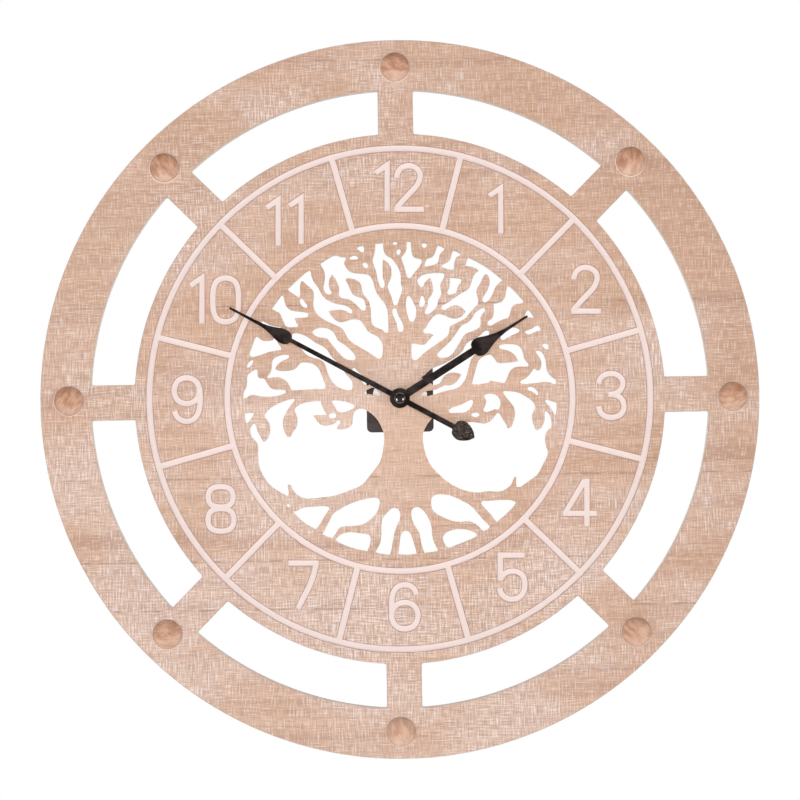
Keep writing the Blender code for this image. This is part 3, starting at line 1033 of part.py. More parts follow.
spring_loop = [
    (spring_left, contact_low), (spring_flat, contact_low), (spring_tip, CELL_Y - SPRING_BULGE),
    (spring_tip, CELL_Y + SPRING_BULGE), (spring_flat, contact_high), (spring_left, contact_high),
    (spring_left, contact_high - CONTACT_THICK), (spring_tip - CONTACT_THICK, CELL_Y + SPRING_BULGE),
    (spring_tip - CONTACT_THICK, CELL_Y - SPRING_BULGE), (spring_left, contact_low + CONTACT_THICK),
]
battery_spring_contact = plate("battery_spring_contact", [spring_loop], contact_base, CONTACT_HEIGHT,
                               PARTS, STEEL)
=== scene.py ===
import math
import bpy
import bmesh
from mathutils import Matrix, Vector


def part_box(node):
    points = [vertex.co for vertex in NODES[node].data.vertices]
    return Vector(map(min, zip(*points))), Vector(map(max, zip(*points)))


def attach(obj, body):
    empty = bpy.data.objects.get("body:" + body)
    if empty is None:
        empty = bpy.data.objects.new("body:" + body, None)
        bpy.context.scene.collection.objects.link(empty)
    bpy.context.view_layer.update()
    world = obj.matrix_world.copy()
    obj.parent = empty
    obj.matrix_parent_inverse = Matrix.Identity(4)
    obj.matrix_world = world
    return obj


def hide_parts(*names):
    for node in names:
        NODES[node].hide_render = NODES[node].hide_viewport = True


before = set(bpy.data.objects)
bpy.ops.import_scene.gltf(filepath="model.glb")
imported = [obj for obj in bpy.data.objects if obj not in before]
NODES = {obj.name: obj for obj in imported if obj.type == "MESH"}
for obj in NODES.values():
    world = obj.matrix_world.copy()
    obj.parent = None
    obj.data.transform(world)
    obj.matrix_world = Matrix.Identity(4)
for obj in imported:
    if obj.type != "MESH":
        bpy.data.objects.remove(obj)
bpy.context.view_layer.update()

MM = 0.001
C = "corner"                  # marks a picked point that stays sharp
MERGE = 0.01 * MM             # doubles closer than this are one point
OVERRUN = 1.0 * MM            # how far a cut runs past the face it opens

# Places read from the frame
BOARD_LOW, BOARD_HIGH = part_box("dial_board")
BOARD_FACE = -BOARD_LOW.y     # how far the dial's face stands from the wall
BOARD_BACK = -BOARD_HIGH.y
BOARD_RADIUS = (BOARD_HIGH.x - BOARD_LOW.x) / 2
DIAL_DROP = -(BOARD_HIGH.z + BOARD_LOW.z) / 2     # the dial's centre hangs this far under the nail
TO_WALL = Matrix.Translation((0.0, 0.0, -DIAL_DROP)) @ Matrix.Rotation(math.pi / 2, 4, "X")

# Dial board
BOARD_STEPS = 360
FLAT_ANGLE = math.radians(0.5)   # faces that meet flatter than this become one
RIM_ROUND = 0.3 * MM
WINDOW_OUTER = 258.1 * MM
WINDOW_INNER = 221.3 * MM
WINDOW_STEPS = 40
WINDOW_CORNER = 1.6 * MM
WINDOW_CORNER_STEPS = 4
SPOKES = 8
SPOKE_WIDTH = 29.5 * MM
ARBOR_HOLE_RADIUS = 4.6 * MM
TREE_RADIUS = 131.5 * MM
STEP_TURN = math.radians(9.0)
PICK_LEAN = math.radians(-0.9)   # the tree was picked leaning; this stands it upright
SHARE = 0.001                    # the picked points are thousandths of the tree's radius
GROOVE_WIDTH = 5.15 * MM
GROOVE_DEPTH = 1.2 * MM
GROOVE_STEPS = 240
GROOVE_SECTION_STEPS = 8
EDGE_STEP_DEPTH = 0.05 * MM         # the step round every cut edge, coloured darker
GROOVE_STEP_WIDTH = 0.5 * MM         # and how far it reaches from the engraving
EDGE_STEP_WIDTH = 0.9 * MM           # and from the rim and the windows
LAYER_SHARE = 0.04
OUTER_GROOVE_RADIUS = 209.0 * MM
INNER_GROOVE_RADIUS = 144.05 * MM
HOURS = 12

# Numerals, engraved: picked points in steps of the picking grid, from each numeral's own centre
PICK = 0.8343 * MM
STROKE_HALF_WIDTH = 2.4 * MM
STROKE_ROUND = 0.6 * MM

# Openings between the branches and roots, each picked round its edge
BRANCH_SHARES = (
    # Crown, from the left round to the right
    ((-817, 568, C), (-757, 652), (-741, 653, C), (-733, 615), (-717, 578), (-690, 561), (-645, 553),
     (-600, 548), (-583, 540), (-585, 521), (-603, 513), (-667, 509, C), (-660, 485), (-644, 455, C),
     (-690, 451), (-722, 458), (-737, 480), (-752, 515), (-765, 542), (-790, 556)),
    ((-713, 697, C), (-660, 748), (-605, 797), (-578, 813), (-566, 803), (-562, 775), (-545, 737),
     (-520, 705), (-502, 668), (-478, 638), (-440, 615), (-395, 601), (-350, 593), (-320, 576),
     (-303, 556), (-306, 541), (-322, 542), (-345, 556), (-380, 563), (-420, 559), (-453, 556, C),
     (-445, 538), (-420, 508), (-395, 490), (-360, 487), (-320, 501), (-285, 505), (-255, 497),
     (-235, 478), (-220, 452), (-205, 430), (-180, 413), (-145, 396), (-125, 375), (-112, 345),
     (-108, 310), (-112, 275), (-122, 254), (-135, 252), (-155, 262), (-200, 292), (-250, 322),
     (-300, 352), (-325, 375), (-343, 405), (-360, 435), (-385, 455), (-450, 483), (-500, 512),
     (-530, 540), (-547, 575), (-552, 602), (-549, 635), (-548, 668), (-558, 692), (-585, 715),
     (-612, 740), (-622, 744), (-630, 735), (-635, 700), (-633, 660), (-638, 643, C), (-655, 648),
     (-680, 667), (-700, 678)),
    ((-637, 628), (-622, 634), (-608, 615), (-589, 590), (-592, 576), (-612, 580), (-628, 595),
     (-635, 611)),
    ((-507, 858, C), (-470, 882), (-430, 905), (-405, 910), (-375, 901), (-345, 898, C), (-344, 883),
     (-353, 866), (-351, 847), (-335, 823), (-315, 806), (-285, 798), (-240, 795), (-200, 786),
     (-180, 765), (-168, 735), (-160, 705), (-147, 670), (-120, 635), (-97, 605), (-82, 570),
     (-75, 520), (-73, 460), (-77, 420), (-91, 417), (-110, 434), (-145, 448), (-168, 463),
     (-180, 487), (-183, 530), (-186, 580), (-198, 618), (-215, 641, C), (-232, 660), (-240, 690),
     (-245, 715), (-255, 735), (-275, 750), (-305, 761), (-338, 762), (-343, 750), (-330, 725),
     (-318, 697), (-305, 670), (-285, 654), (-255, 644), (-232, 632), (-223, 613), (-216, 583),
     (-221, 559), (-236, 557), (-255, 572), (-280, 597), (-305, 618), (-330, 630), (-360, 634),
     (-380, 645), (-388, 666), (-386, 700), (-393, 725), (-405, 752), (-420, 775), (-430, 787, C),
     (-441, 772), (-450, 745), (-452, 715), (-443, 690), (-434, 676), (-438, 664), (-450, 660),
     (-467, 665), (-482, 685), (-487, 711), (-480, 745), (-477, 785), (-484, 815), (-497, 838)),
    ((-273, 955), (-263, 966), (-245, 970), (-232, 967), (-227, 950), (-230, 931), (-242, 929),
     (-260, 940)),
    ((-322, 894), (-312, 903), (-298, 910), (-280, 908), (-267, 897), (-269, 885), (-290, 882),
     (-318, 883)),
    ((-235, 862), (-222, 867), (-208, 857), (-203, 840), (-212, 827), (-225, 832), (-236, 847)),
    ((-157, 985, C), (-108, 990, C), (-106, 960), (-100, 930), (-83, 910), (-55, 893), (-33, 868),
     (-13, 838), (0, 805), (6, 770), (6, 733), (14, 700), (10, 672), (-3, 635), (-15, 600),
     (-26, 591), (-38, 595), (-46, 618), (-55, 650), (-68, 680), (-78, 706), (-72, 735), (-60, 760),
     (-53, 795), (-56, 830), (-72, 856), (-92, 873), (-108, 883, C), (-111, 840), (-109, 770),
     (-98, 740), (-98, 712), (-107, 702), (-122, 706), (-135, 735), (-145, 775), (-153, 812),
     (-165, 845), (-174, 878), (-164, 915), (-157, 950)),
    ((-45, 988), (-37, 998), (-22, 997), (-17, 985), (-27, 975), (-40, 977)),
    ((-22, 935), (-15, 949), (-1, 950), (6, 938), (2, 922), (-8, 912), (-19, 917)),
    ((-47, 562), (-35, 576), (-23, 570), (-17, 545), (-3, 517), (12, 490), (22, 460), (22, 435),
     (10, 423), (-7, 424), (-14, 445), (-20, 475), (-33, 507), (-45, 535)),
    ((45, 999, C), (68, 998, C), (72, 955), (78, 915), (95, 896), (130, 888), (139, 878), (135, 855),
     (115, 825), (90, 797), (73, 770), (58, 762), (47, 772), (37, 805), (25, 845), (12, 880),
     (12, 902), (30, 925), (42, 950), (44, 975)),
    ((138, 977), (145, 988), (162, 988), (172, 976), (167, 962), (153, 957), (142, 964)),
    ((233, 955), (243, 971), (262, 968), (285, 955, C), (280, 942), (265, 930), (252, 910),
     (248, 887), (243, 868), (230, 855), (205, 846), (175, 839), (161, 840), (157, 852), (165, 875),
     (175, 890), (205, 900), (218, 914), (226, 932)),
    ((335, 936), (347, 940), (366, 932), (385, 920, C), (380, 908), (360, 897), (349, 878),
     (344, 855), (342, 824), (330, 817), (305, 822), (275, 830), (267, 840), (275, 854), (305, 869),
     (320, 885), (328, 908)),
    ((437, 897, C), (490, 871), (550, 836), (605, 795), (655, 752, C), (635, 738), (610, 712),
     (597, 682), (583, 652), (562, 622), (543, 610), (528, 614), (525, 631), (540, 660), (558, 690),
     (569, 725), (570, 755), (560, 780), (545, 788), (530, 775), (517, 745), (500, 715), (488, 690),
     (490, 662), (497, 635), (496, 605), (480, 583), (458, 560), (438, 537), (420, 513), (395, 497),
     (365, 480), (335, 467), (318, 455), (314, 430), (307, 405), (285, 382), (245, 353), (200, 323),
     (160, 293), (125, 262), (105, 244), (86, 244), (76, 260), (74, 300), (74, 350, C), (98, 350),
     (125, 343), (155, 343), (175, 360), (195, 385), (215, 405, C), (190, 411), (155, 413, C),
     (148, 432), (165, 450), (178, 475), (197, 502), (215, 523), (240, 537), (275, 533), (310, 518),
     (350, 508), (385, 518), (405, 535), (417, 550, C), (400, 570), (370, 588), (345, 591),
     (315, 580), (290, 562), (272, 562), (264, 577), (275, 594), (310, 613), (350, 643), (390, 670),
     (425, 688), (445, 710), (457, 745), (467, 775), (482, 797), (500, 812, C), (480, 828),
     (450, 837), (415, 843, C), (422, 865)),
    ((535, 577), (542, 562), (527, 540), (514, 518), (514, 485), (507, 455), (485, 437), (450, 423),
     (417, 410), (400, 390), (383, 360), (363, 327), (343, 297), (322, 272), (295, 260), (255, 259),
     (240, 270), (242, 288), (265, 312), (300, 342), (330, 373), (355, 410), (375, 440), (395, 465),
     (430, 483), (460, 510), (475, 540), (497, 560), (520, 573)),
    ((138, 132), (160, 150), (180, 171), (205, 191), (240, 206), (280, 221), (325, 245), (370, 275),
     (397, 300), (411, 325), (422, 347), (440, 362), (470, 376), (495, 390), (515, 405), (535, 425),
     (555, 433), (569, 425), (565, 405), (545, 370), (520, 332), (495, 298), (465, 266), (450, 240),
     (441, 210), (432, 170), (420, 130), (400, 98), (375, 73), (340, 57), (290, 47), (250, 35),
     (200, 20), (165, 13), (137, 15), (137, 29), (160, 45), (200, 51), (235, 59), (265, 73),
     (285, 83), (310, 83), (340, 90), (362, 108), (380, 132), (391, 150, C), (370, 160), (335, 164),
     (305, 157), (282, 142), (266, 120), (256, 100), (235, 88), (213, 84), (196, 96), (175, 112),
     (155, 122)),
    ((458, 90, C), (500, 88), (540, 97), (563, 100, C), (576, 112), (600, 107), (635, 101), (663, 99),
     (678, 120), (692, 157), (708, 183), (735, 199), (775, 202), (808, 203), (820, 214), (805, 235),
     (790, 258), (784, 290), (772, 320), (745, 340), (710, 346), (660, 345), (637, 338), (630, 325),
     (645, 313), (680, 306), (710, 292), (735, 268), (752, 237, C), (700, 230), (650, 225),
     (620, 230), (603, 252), (585, 273), (565, 278), (530, 265), (505, 245), (490, 215), (478, 170),
     (465, 125)),
    ((638, 388), (652, 407), (675, 432), (700, 450), (725, 452), (757, 441), (762, 430), (745, 415),
     (710, 400), (675, 380), (652, 371)),
    ((797, 425), (812, 434), (840, 443), (862, 459), (880, 463), (893, 452), (892, 434), (862, 425),
     (838, 412), (815, 407), (798, 413)),
    ((594, 602, C), (630, 609), (655, 622), (670, 650), (676, 685), (685, 713), (700, 712, C),
     (740, 673), (772, 636), (785, 617), (772, 604), (740, 600), (718, 588), (705, 562), (698, 530),
     (690, 511, C), (655, 502), (620, 486), (585, 465), (567, 462), (557, 475), (567, 495),
     (585, 508), (594, 530), (597, 565)),
    ((793, 528), (803, 548), (815, 562), (830, 552), (851, 517), (845, 512), (820, 515), (796, 515)),
    ((905, 336), (911, 347), (927, 350), (943, 343), (947, 325), (940, 311), (926, 313), (912, 324)),
    ((864, 296), (880, 304), (900, 297), (918, 272), (929, 240), (932, 200), (942, 165), (965, 138),
     (992, 120, C), (994, 103), (982, 90), (955, 100), (920, 105), (870, 99), (820, 93), (785, 91),
     (765, 100), (770, 113), (800, 127), (825, 152), (843, 178), (858, 190), (873, 180), (885, 178),
     (896, 198), (897, 230), (888, 258), (872, 280)),
    ((810, 60), (820, 72), (840, 73), (860, 63), (876, 45), (880, 28), (872, 20), (857, 30),
     (834, 45), (815, 52)),
    # Inner crown above the trunk
    ((110, 750), (125, 771), (145, 786), (180, 796), (220, 800), (262, 800), (281, 794), (282, 778),
     (272, 755), (260, 733), (257, 708), (262, 685), (264, 665), (253, 645), (244, 625), (238, 598),
     (228, 574), (210, 556), (188, 539), (165, 535), (157, 545), (166, 568), (176, 593), (178, 620),
     (186, 640), (202, 658), (212, 690), (205, 730), (199, 755), (192, 766, C), (172, 751),
     (156, 732), (149, 714), (137, 706), (125, 716), (115, 735)),
    ((317, 765, C), (335, 768), (363, 765), (386, 760), (392, 747), (383, 732), (370, 714),
     (364, 692), (355, 672), (335, 663), (311, 659), (302, 668), (306, 687), (315, 707), (318, 738)),
    ((140, 655), (152, 645), (158, 620), (157, 600), (147, 584), (134, 580), (124, 590), (126, 618),
     (132, 640)),
    ((53, 653), (44, 643), (39, 615), (38, 585), (43, 550), (52, 518), (62, 493), (73, 486),
     (86, 488), (95, 505), (102, 530), (105, 556), (100, 582), (88, 608), (77, 628), (67, 648)),
    # Left side
    ((-997, 3, C), (-994, 40), (-977, 72), (-973, 110), (-968, 150), (-945, 168), (-918, 184),
     (-905, 178), (-903, 150), (-895, 130), (-865, 126), (-850, 107), (-835, 83), (-815, 63),
     (-780, 55), (-737, 54), (-724, 42), (-740, 27), (-785, 14), (-840, 10), (-885, 12), (-930, 22),
     (-957, 16), (-977, 0)),
    ((-974, 203), (-968, 223), (-950, 240), (-936, 243), (-933, 229), (-944, 210), (-958, 197),
     (-969, 195)),
    ((-957, 282), (-945, 320), (-932, 358), (-918, 390), (-906, 393), (-893, 380), (-875, 369),
     (-845, 366), (-815, 371), (-795, 382), (-782, 366), (-770, 343), (-752, 316), (-757, 307),
     (-785, 304), (-830, 295), (-875, 279), (-915, 266), (-946, 266)),
    ((-880, 489), (-850, 479), (-825, 466), (-790, 459), (-757, 452), (-757, 440), (-782, 432),
     (-820, 440), (-855, 462)),
    ((-690, 400), (-670, 415), (-640, 413), (-600, 398), (-565, 375), (-535, 353), (-500, 337),
     (-475, 320), (-455, 297), (-440, 272), (-424, 253), (-398, 230), (-368, 203), (-350, 181),
     (-351, 165), (-335, 145), (-312, 120), (-302, 100), (-302, 62), (-315, 52), (-350, 55),
     (-390, 70), (-420, 95), (-445, 130), (-460, 165), (-470, 200), (-485, 230), (-510, 247),
     (-550, 257), (-585, 272), (-610, 295), (-630, 320), (-655, 347), (-680, 372)),
    ((-200, 83), (-196, 95), (-207, 117), (-236, 145), (-266, 170), (-286, 191), (-300, 192),
     (-302, 180), (-284, 155), (-260, 132), (-243, 113), (-235, 97), (-217, 85)),
    ((-224, 30), (-216, 48), (-203, 57), (-180, 67), (-158, 65), (-140, 48), (-124, 28), (-121, 15),
     (-150, 17), (-195, 27)),
    ((-557, 425), (-545, 438), (-525, 447), (-495, 451), (-460, 445), (-435, 430), (-415, 410),
     (-405, 388), (-395, 370), (-372, 354), (-345, 336), (-318, 313), (-297, 290), (-284, 268),
     (-283, 249), (-297, 243), (-325, 244), (-348, 252), (-372, 272), (-400, 301), (-418, 325),
     (-437, 349), (-453, 369), (-472, 383), (-505, 386), (-532, 396), (-550, 409)),
    ((-710, 275), (-703, 263), (-715, 252), (-745, 238), (-770, 220), (-785, 200), (-788, 185),
     (-765, 176), (-725, 175), (-690, 180), (-665, 190), (-650, 206), (-636, 223), (-605, 230),
     (-570, 225), (-540, 212), (-515, 187), (-500, 155), (-488, 122), (-475, 90), (-472, 68),
     (-480, 60, C), (-540, 59), (-610, 54), (-680, 51), (-693, 60), (-705, 85), (-720, 107),
     (-745, 126), (-775, 135), (-805, 133), (-835, 128), (-843, 140), (-832, 152), (-820, 175),
     (-815, 205), (-813, 235), (-803, 254), (-780, 267), (-745, 277)),
    ((-987, -100), (-975, -94), (-935, -93), (-930, -104), (-943, -125), (-960, -150), (-972, -157),
     (-982, -145)),
    ((-435, -20), (-420, -12), (-380, -15), (-340, -22), (-310, -33), (-290, -45), (-293, -60),
     (-325, -78), (-355, -88), (-385, -86), (-402, -75), (-415, -48)),
    ((-454, -110), (-445, -98), (-425, -94), (-408, -99), (-403, -112), (-415, -125), (-440, -126)),
    # Right side
    ((310, -80), (320, -66), (355, -51), (390, -40), (425, -22), (455, -9), (466, -20), (460, -42),
     (445, -66), (425, -83), (390, -92), (340, -92), (315, -90)),
    ((454, -106), (465, -94), (485, -90), (501, -95), (505, -107), (493, -116), (472, -118)),
    ((535, 8), (545, 24), (572, 31), (603, 26), (627, 8), (640, -20), (637, -50), (628, -70),
     (600, -70), (575, -80), (545, -87), (530, -75), (540, -50), (548, -22), (543, -3)),
    ((923, -18), (930, -9), (947, -10), (970, -20), (997, -27, C), (998, -60), (992, -102),
     (982, -103), (968, -78), (948, -48), (930, -31)),
    # The two large openings beside the trunk
    ((-240, -64), (-275, -72), (-295, -98), (-300, -130), (-303, -160), (-318, -180), (-345, -192),
     (-378, -197), (-401, -195, C), (-395, -178), (-382, -162), (-380, -148), (-392, -140),
     (-408, -154), (-435, -167), (-475, -173), (-505, -165), (-530, -138), (-547, -112),
     (-540, -107, C), (-463, -105, C), (-478, -83), (-490, -60), (-498, -35), (-503, -15, C),
     (-560, -19), (-600, -26), (-635, -38), (-660, -54), (-670, -75), (-662, -97), (-653, -122),
     (-652, -155), (-660, -186), (-678, -210), (-690, -232), (-702, -246), (-718, -238),
     (-732, -210), (-742, -172), (-742, -140), (-732, -112), (-716, -80), (-698, -50), (-676, -25),
     (-668, -8), (-685, -3), (-730, -15), (-785, -38), (-830, -66), (-855, -95), (-861, -112),
     (-847, -134), (-833, -155), (-825, -195), (-831, -232), (-848, -264), (-864, -275),
     (-878, -255), (-900, -216), (-912, -180), (-920, -162), (-935, -164), (-948, -184),
     (-953, -208), (-945, -238), (-925, -265), (-908, -284), (-902, -310), (-902, -360),
     (-900, -412), (-890, -450), (-866, -497), (-835, -542), (-800, -572), (-760, -597),
     (-730, -614), (-712, -617), (-705, -605), (-706, -585), (-711, -562), (-707, -548),
     (-695, -553), (-682, -577), (-667, -599), (-640, -622), (-605, -636), (-545, -636),
     (-480, -627), (-410, -617), (-355, -598), (-300, -577), (-255, -558), (-220, -528),
     (-178, -474), (-148, -436), (-124, -397), (-108, -340), (-100, -280), (-101, -230),
     (-112, -195), (-137, -145), (-165, -111), (-205, -80)),
    ((657, 43), (690, 46), (735, 42), (775, 28), (815, 4), (840, -15), (856, -37), (860, -58),
     (850, -83), (841, -108), (843, -142), (855, -175), (866, -198), (885, -197), (905, -175),
     (917, -145), (919, -112), (920, -87), (933, -83), (950, -100), (961, -128), (965, -165),
     (958, -190), (940, -203), (927, -230), (924, -270), (932, -310), (942, -340), (932, -378),
     (900, -440), (870, -489), (820, -525), (775, -558), (750, -564), (739, -553), (738, -520),
     (735, -498), (727, -504), (717, -527), (707, -548), (680, -573), (650, -588), (610, -593),
     (560, -590), (500, -598), (440, -592), (380, -573), (330, -548), (280, -513), (235, -470),
     (200, -430), (170, -372), (152, -310), (145, -250), (150, -212), (170, -172), (200, -132),
     (225, -120), (300, -146), (370, -168), (430, -152), (480, -152), (530, -160), (565, -151),
     (595, -123), (614, -98), (627, -90, C), (640, -105), (655, -133), (675, -162), (688, -190),
     (702, -187), (717, -158), (728, -122), (730, -85), (720, -50), (700, -24), (678, 3), (662, 25)),
    # Between the roots
    ((-719, -680), (-710, -670), (-699, -676), (-700, -688), (-712, -691)),
    ((-673, -722), (-655, -714), (-620, -698), (-590, -690), (-540, -687), (-500, -683), (-458, -686),
     (-447, -698), (-460, -720), (-480, -750), (-500, -785), (-517, -812), (-535, -832, C),
     (-600, -797), (-655, -747)),
    ((-492, -863, C), (-475, -833), (-457, -795), (-438, -760), (-420, -730), (-395, -713),
     (-350, -686), (-300, -663), (-250, -646), (-190, -633), (-152, -630), (-132, -642),
     (-128, -668), (-140, -710), (-158, -740), (-185, -767), (-220, -793), (-265, -808),
     (-330, -813), (-370, -816), (-392, -832), (-412, -866), (-430, -889, C), (-465, -877)),
    ((-405, -900), (-393, -880), (-365, -859), (-325, -850), (-280, -852), (-240, -857),
     (-205, -862), (-190, -873), (-185, -900), (-192, -935), (-207, -970, C), (-260, -962),
     (-320, -945), (-385, -917)),
    ((-151, -976), (-140, -950), (-125, -918), (-117, -875), (-117, -805), (-110, -768),
     (-97, -743), (-75, -720), (-55, -702), (-38, -695), (-18, -700), (-2, -718), (3, -742),
     (-2, -770), (-15, -800), (-30, -835), (-42, -885), (-50, -940), (-62, -993, C), (-110, -988)),
    ((-10, -990, C), (-5, -950), (0, -905), (8, -862), (23, -845), (42, -840), (62, -850),
     (75, -875), (90, -925), (103, -965), (108, -986, C), (50, -994)),
    ((157, -982, C), (145, -950), (135, -915), (128, -868), (115, -838), (97, -812), (80, -778),
     (73, -742), (77, -708), (95, -692), (115, -690), (135, -700), (165, -733), (188, -775),
     (202, -822), (205, -870), (217, -915), (237, -953), (240, -967), (200, -976)),
    ((200, -640), (213, -620), (240, -609), (275, -610), (330, -620), (380, -642), (430, -668),
     (465, -695), (495, -730), (525, -767), (560, -801), (571, -815), (560, -830), (535, -841),
     (515, -830), (495, -807), (465, -788), (430, -780), (385, -785), (335, -779), (280, -758),
     (235, -734), (210, -710), (200, -678)),
    ((273, -890), (281, -865), (302, -847), (340, -834), (385, -829), (430, -834), (470, -849),
     (488, -866), (478, -881), (440, -898), (380, -923), (325, -945), (303, -947), (285, -922)),
    ((519, -655), (550, -651), (620, -646), (690, -645), (725, -653), (737, -664), (700, -711),
     (660, -749), (614, -788, C), (600, -767), (575, -735), (545, -702), (523, -678)),
)


def one(x, top, bottom):
    """The strokes of a figure one, its stem at x."""
    return [((x - 11.7, top - 10.1, C), (x, top - 1.9, C), (x, bottom, C))], []


def oval(x, y, across, up, square=0.76):
    """A closed round stroke about a centre, a little squarer than an ellipse."""
    picks = []
    for dx, dy in ((0, 1), (square, square), (1, 0), (square, -square),
                   (0, -1), (-square, -square), (-1, 0), (-square, square)):
        picks.append((x + across * dx, y + up * dy))
    return tuple(picks)


# Each figure has open strokes and closed strokes
FIGURES = {
    "1": one(5.6, 24.4, -23.7),
    "2": ([((-12.3, 9.6, C), (-11.6, 14.0), (-8.0, 19.3), (-1.0, 21.8), (6.0, 20.0), (10.2, 15.6),
            (11.0, 10.5), (8.6, 3.0), (4.0, -2.6), (-3.8, -10.6), (-12.4, -20.6, C)),
           ((-15.0, -22.0, C), (15.0, -22.0, C))], []),
    "3": ([((-12.7, 11.6, C), (-11.2, 16.4), (-7.0, 20.4), (-0.4, 22.0), (6.2, 20.5), (10.4, 16.6),
            (11.6, 12.0), (10.2, 7.0), (6.5, 3.2), (1.5, 1.4), (-3.1, 1.2, C)),
           ((-3.1, 1.2, C), (2.5, 0.9), (7.8, -1.2), (11.5, -5.5), (12.6, -11.0), (11.3, -16.4),
            (7.2, -20.3), (0.2, -22.0), (-6.6, -20.5), (-11.0, -16.5), (-12.8, -10.8, C))], []),
    "4": ([((7.5, 24.4, C), (7.5, -23.5, C)), ((5.6, 23.2, C), (-14.2, -10.2, C)),
           ((-17.0, -10.3, C), (17.4, -10.3, C))], []),
    "5": ([((12.0, 22.1, C), (-12.1, 22.1, C), (-12.1, -4.0, C)),
           ((-12.1, -2.6, C), (-9.6, 1.6), (-5.6, 4.8), (0.4, 6.1), (6.8, 4.6), (10.9, 0.3),
            (12.4, -7.6), (11.0, -14.6), (6.6, -20.0), (-0.4, -21.9), (-7.0, -20.2), (-11.1, -16.2),
            (-12.7, -11.0, C))], []),
    "6": ([((12.5, 12.0, C), (10.8, 17.0), (6.8, 20.7), (1.0, 22.0), (-5.0, 20.5), (-9.2, 16.3),
            (-11.6, 10.0), (-12.1, 2.0), (-11.9, -9.0, C))], [oval(1.0, -8.8, 13.2, 13.2, 0.72)]),
    "7": ([((-14.7, 22.1, C), (15.3, 22.1, C)),
           ((13.2, 22.0, C), (10.3, 10.0), (6.6, 0.0), (1.6, -10.0), (-5.2, -23.4, C))], []),
    "8": ([], [oval(0.0, 12.2, 12.4, 10.2), oval(0.3, -10.8, 12.9, 11.3)]),
    "9": ([((11.6, 12.0, C), (12.5, 2.0), (12.1, -6.0), (9.9, -14.6), (5.6, -20.0), (-0.6, -21.9),
            (-6.8, -20.4), (-11.3, -16.6), (-13.2, -11.4, C))], [oval(-1.1, 8.8, 12.6, 13.0, 0.72)]),
    "0": ([], [oval(10.2, 0.2, 12.9, 22.0, 0.78)]),
}

# Where each figure stands: its centre on the picking grid, counted from the dial's centre
NUMERALS = (
    ("1", 95.4, 188.2), ("2", 186.4, 109.2), ("3", 211.4, 2.7), ("4", 179.4, -104.8),
    ("5", 112.4, -178.8), ("6", 3.9, -208.3), ("7", -96.6, -186.8), ("8", -179.1, -110.8),
    ("9", -212.1, -1.3), ("0", -184.6, 98.2), ("1", -203.8, 98.3), ("1", -127.6, 176.3),
    ("1", -104.6, 178.3), ("1", -18.4, 211.3), ("2", 9.2, 211.3),
)

# Hands: share of the length along the hand, and share of the widest half width
HUB_RADIUS = 8.3 * MM
HUB_STEPS = 40
HAND_EDGE = 0.14 * MM
HOUR_LENGTH = 126.3 * MM
MINUTE_LENGTH = 160.4 * MM
TAIL_LENGTH = 70.0 * MM
HOUR_HALF_WIDTH = 7.8 * MM
MINUTE_HALF_WIDTH = 6.1 * MM
TAIL_HALF_WIDTH = 8.3 * MM
HOUR_ANGLE = math.radians(-58.1)
MINUTE_ANGLE = math.radians(-298.8)
HOUR_HAND_SHARES = (
    (0.055, 0.41, C), (0.574, 0.385), (0.584, 0.70), (0.602, 0.93), (0.625, 1.0), (0.652, 0.93),
    (0.685, 0.71), (0.724, 0.49), (0.765, 0.31), (0.831, 0.185), (0.926, 0.135), (1.0, 0.115, C),
)
MINUTE_HAND_SHARES = (
    (0.045, 0.37, C), (0.637, 0.29), (0.645, 0.62), (0.660, 0.88), (0.684, 1.0), (0.711, 0.90),
    (0.744, 0.60), (0.775, 0.37), (0.811, 0.235), (0.86, 0.20), (0.93, 0.17), (1.0, 0.15, C),
)
TAIL_SHARES = (
    (0.10, 0.27, C), (0.714, 0.27), (0.735, 0.64), (0.775, 0.90), (0.825, 1.0), (0.875, 0.91),
    (0.92, 0.72), (0.965, 0.44), (1.0, 0.06, C),
)
HAND_BORES = {"hour_hand": 2.85 * MM, "minute_hand": 1.5 * MM}

# Rim buttons
BUTTON_STEPS = 72
BUTTON_DOME_STEPS = 12
BUTTON_EDGE = 1.0 * MM
BUTTON_SHRINK = 0.15 * MM
BUTTON_SHADE_LINE = 0.06 * MM          # the step for a dark line of painted contact shadow round the dome
BUTTON_SHADE_LINE_WIDTH = 0.25 * MM
BUTTON_HALO = 0.15 * MM          # and the step for a pale ring of painted light round that
BUTTON_HALO_WIDTH = 0.55 * MM
BUTTON_FOOT = -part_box("button_1")[1].y
BUTTON_SETTLE = ((0.0, -0.4), (0.3, -1.6), (0.5, -1.2), (0.2, -0.4),
                 (0.0, -0.5), (1.8, -1.9), (1.3, -3.4), (-0.4, -1.3))      # mm right and up, as glued
BUTTON_GRAINS = (12.0, 95.0, 168.0, 40.0, 84.0, 8.0, 120.0, 65.0)     # degrees, one a button
GRAIN_SCALE = 40.0                                                     # texture units a metre

# Domed nut on the hands
CAP_STEPS = 64
CAP_DOME_STEPS = 10
CAP_SKIRT_SHARE = 0.3            # the straight skirt's share of the height
CAP_ROUND = 0.2 * MM
CAP_BORE_RADIUS = 1.5 * MM
CAP_BORE_DEPTH = 1.4 * MM

SHARP_ANGLE = math.radians(30.0)     # edges that bend more stay sharp when a piece is shaded

# Colours and places that the materials use
SCORCH = (0.40, 0.275, 0.220, 1.0)   # dark threads of the bare wood
THREAD_SPACING = 2.7 * MM
TAIL_SPOT = (0.0529, -0.0345, -0.0626)     # the middle of the minute hand's tail

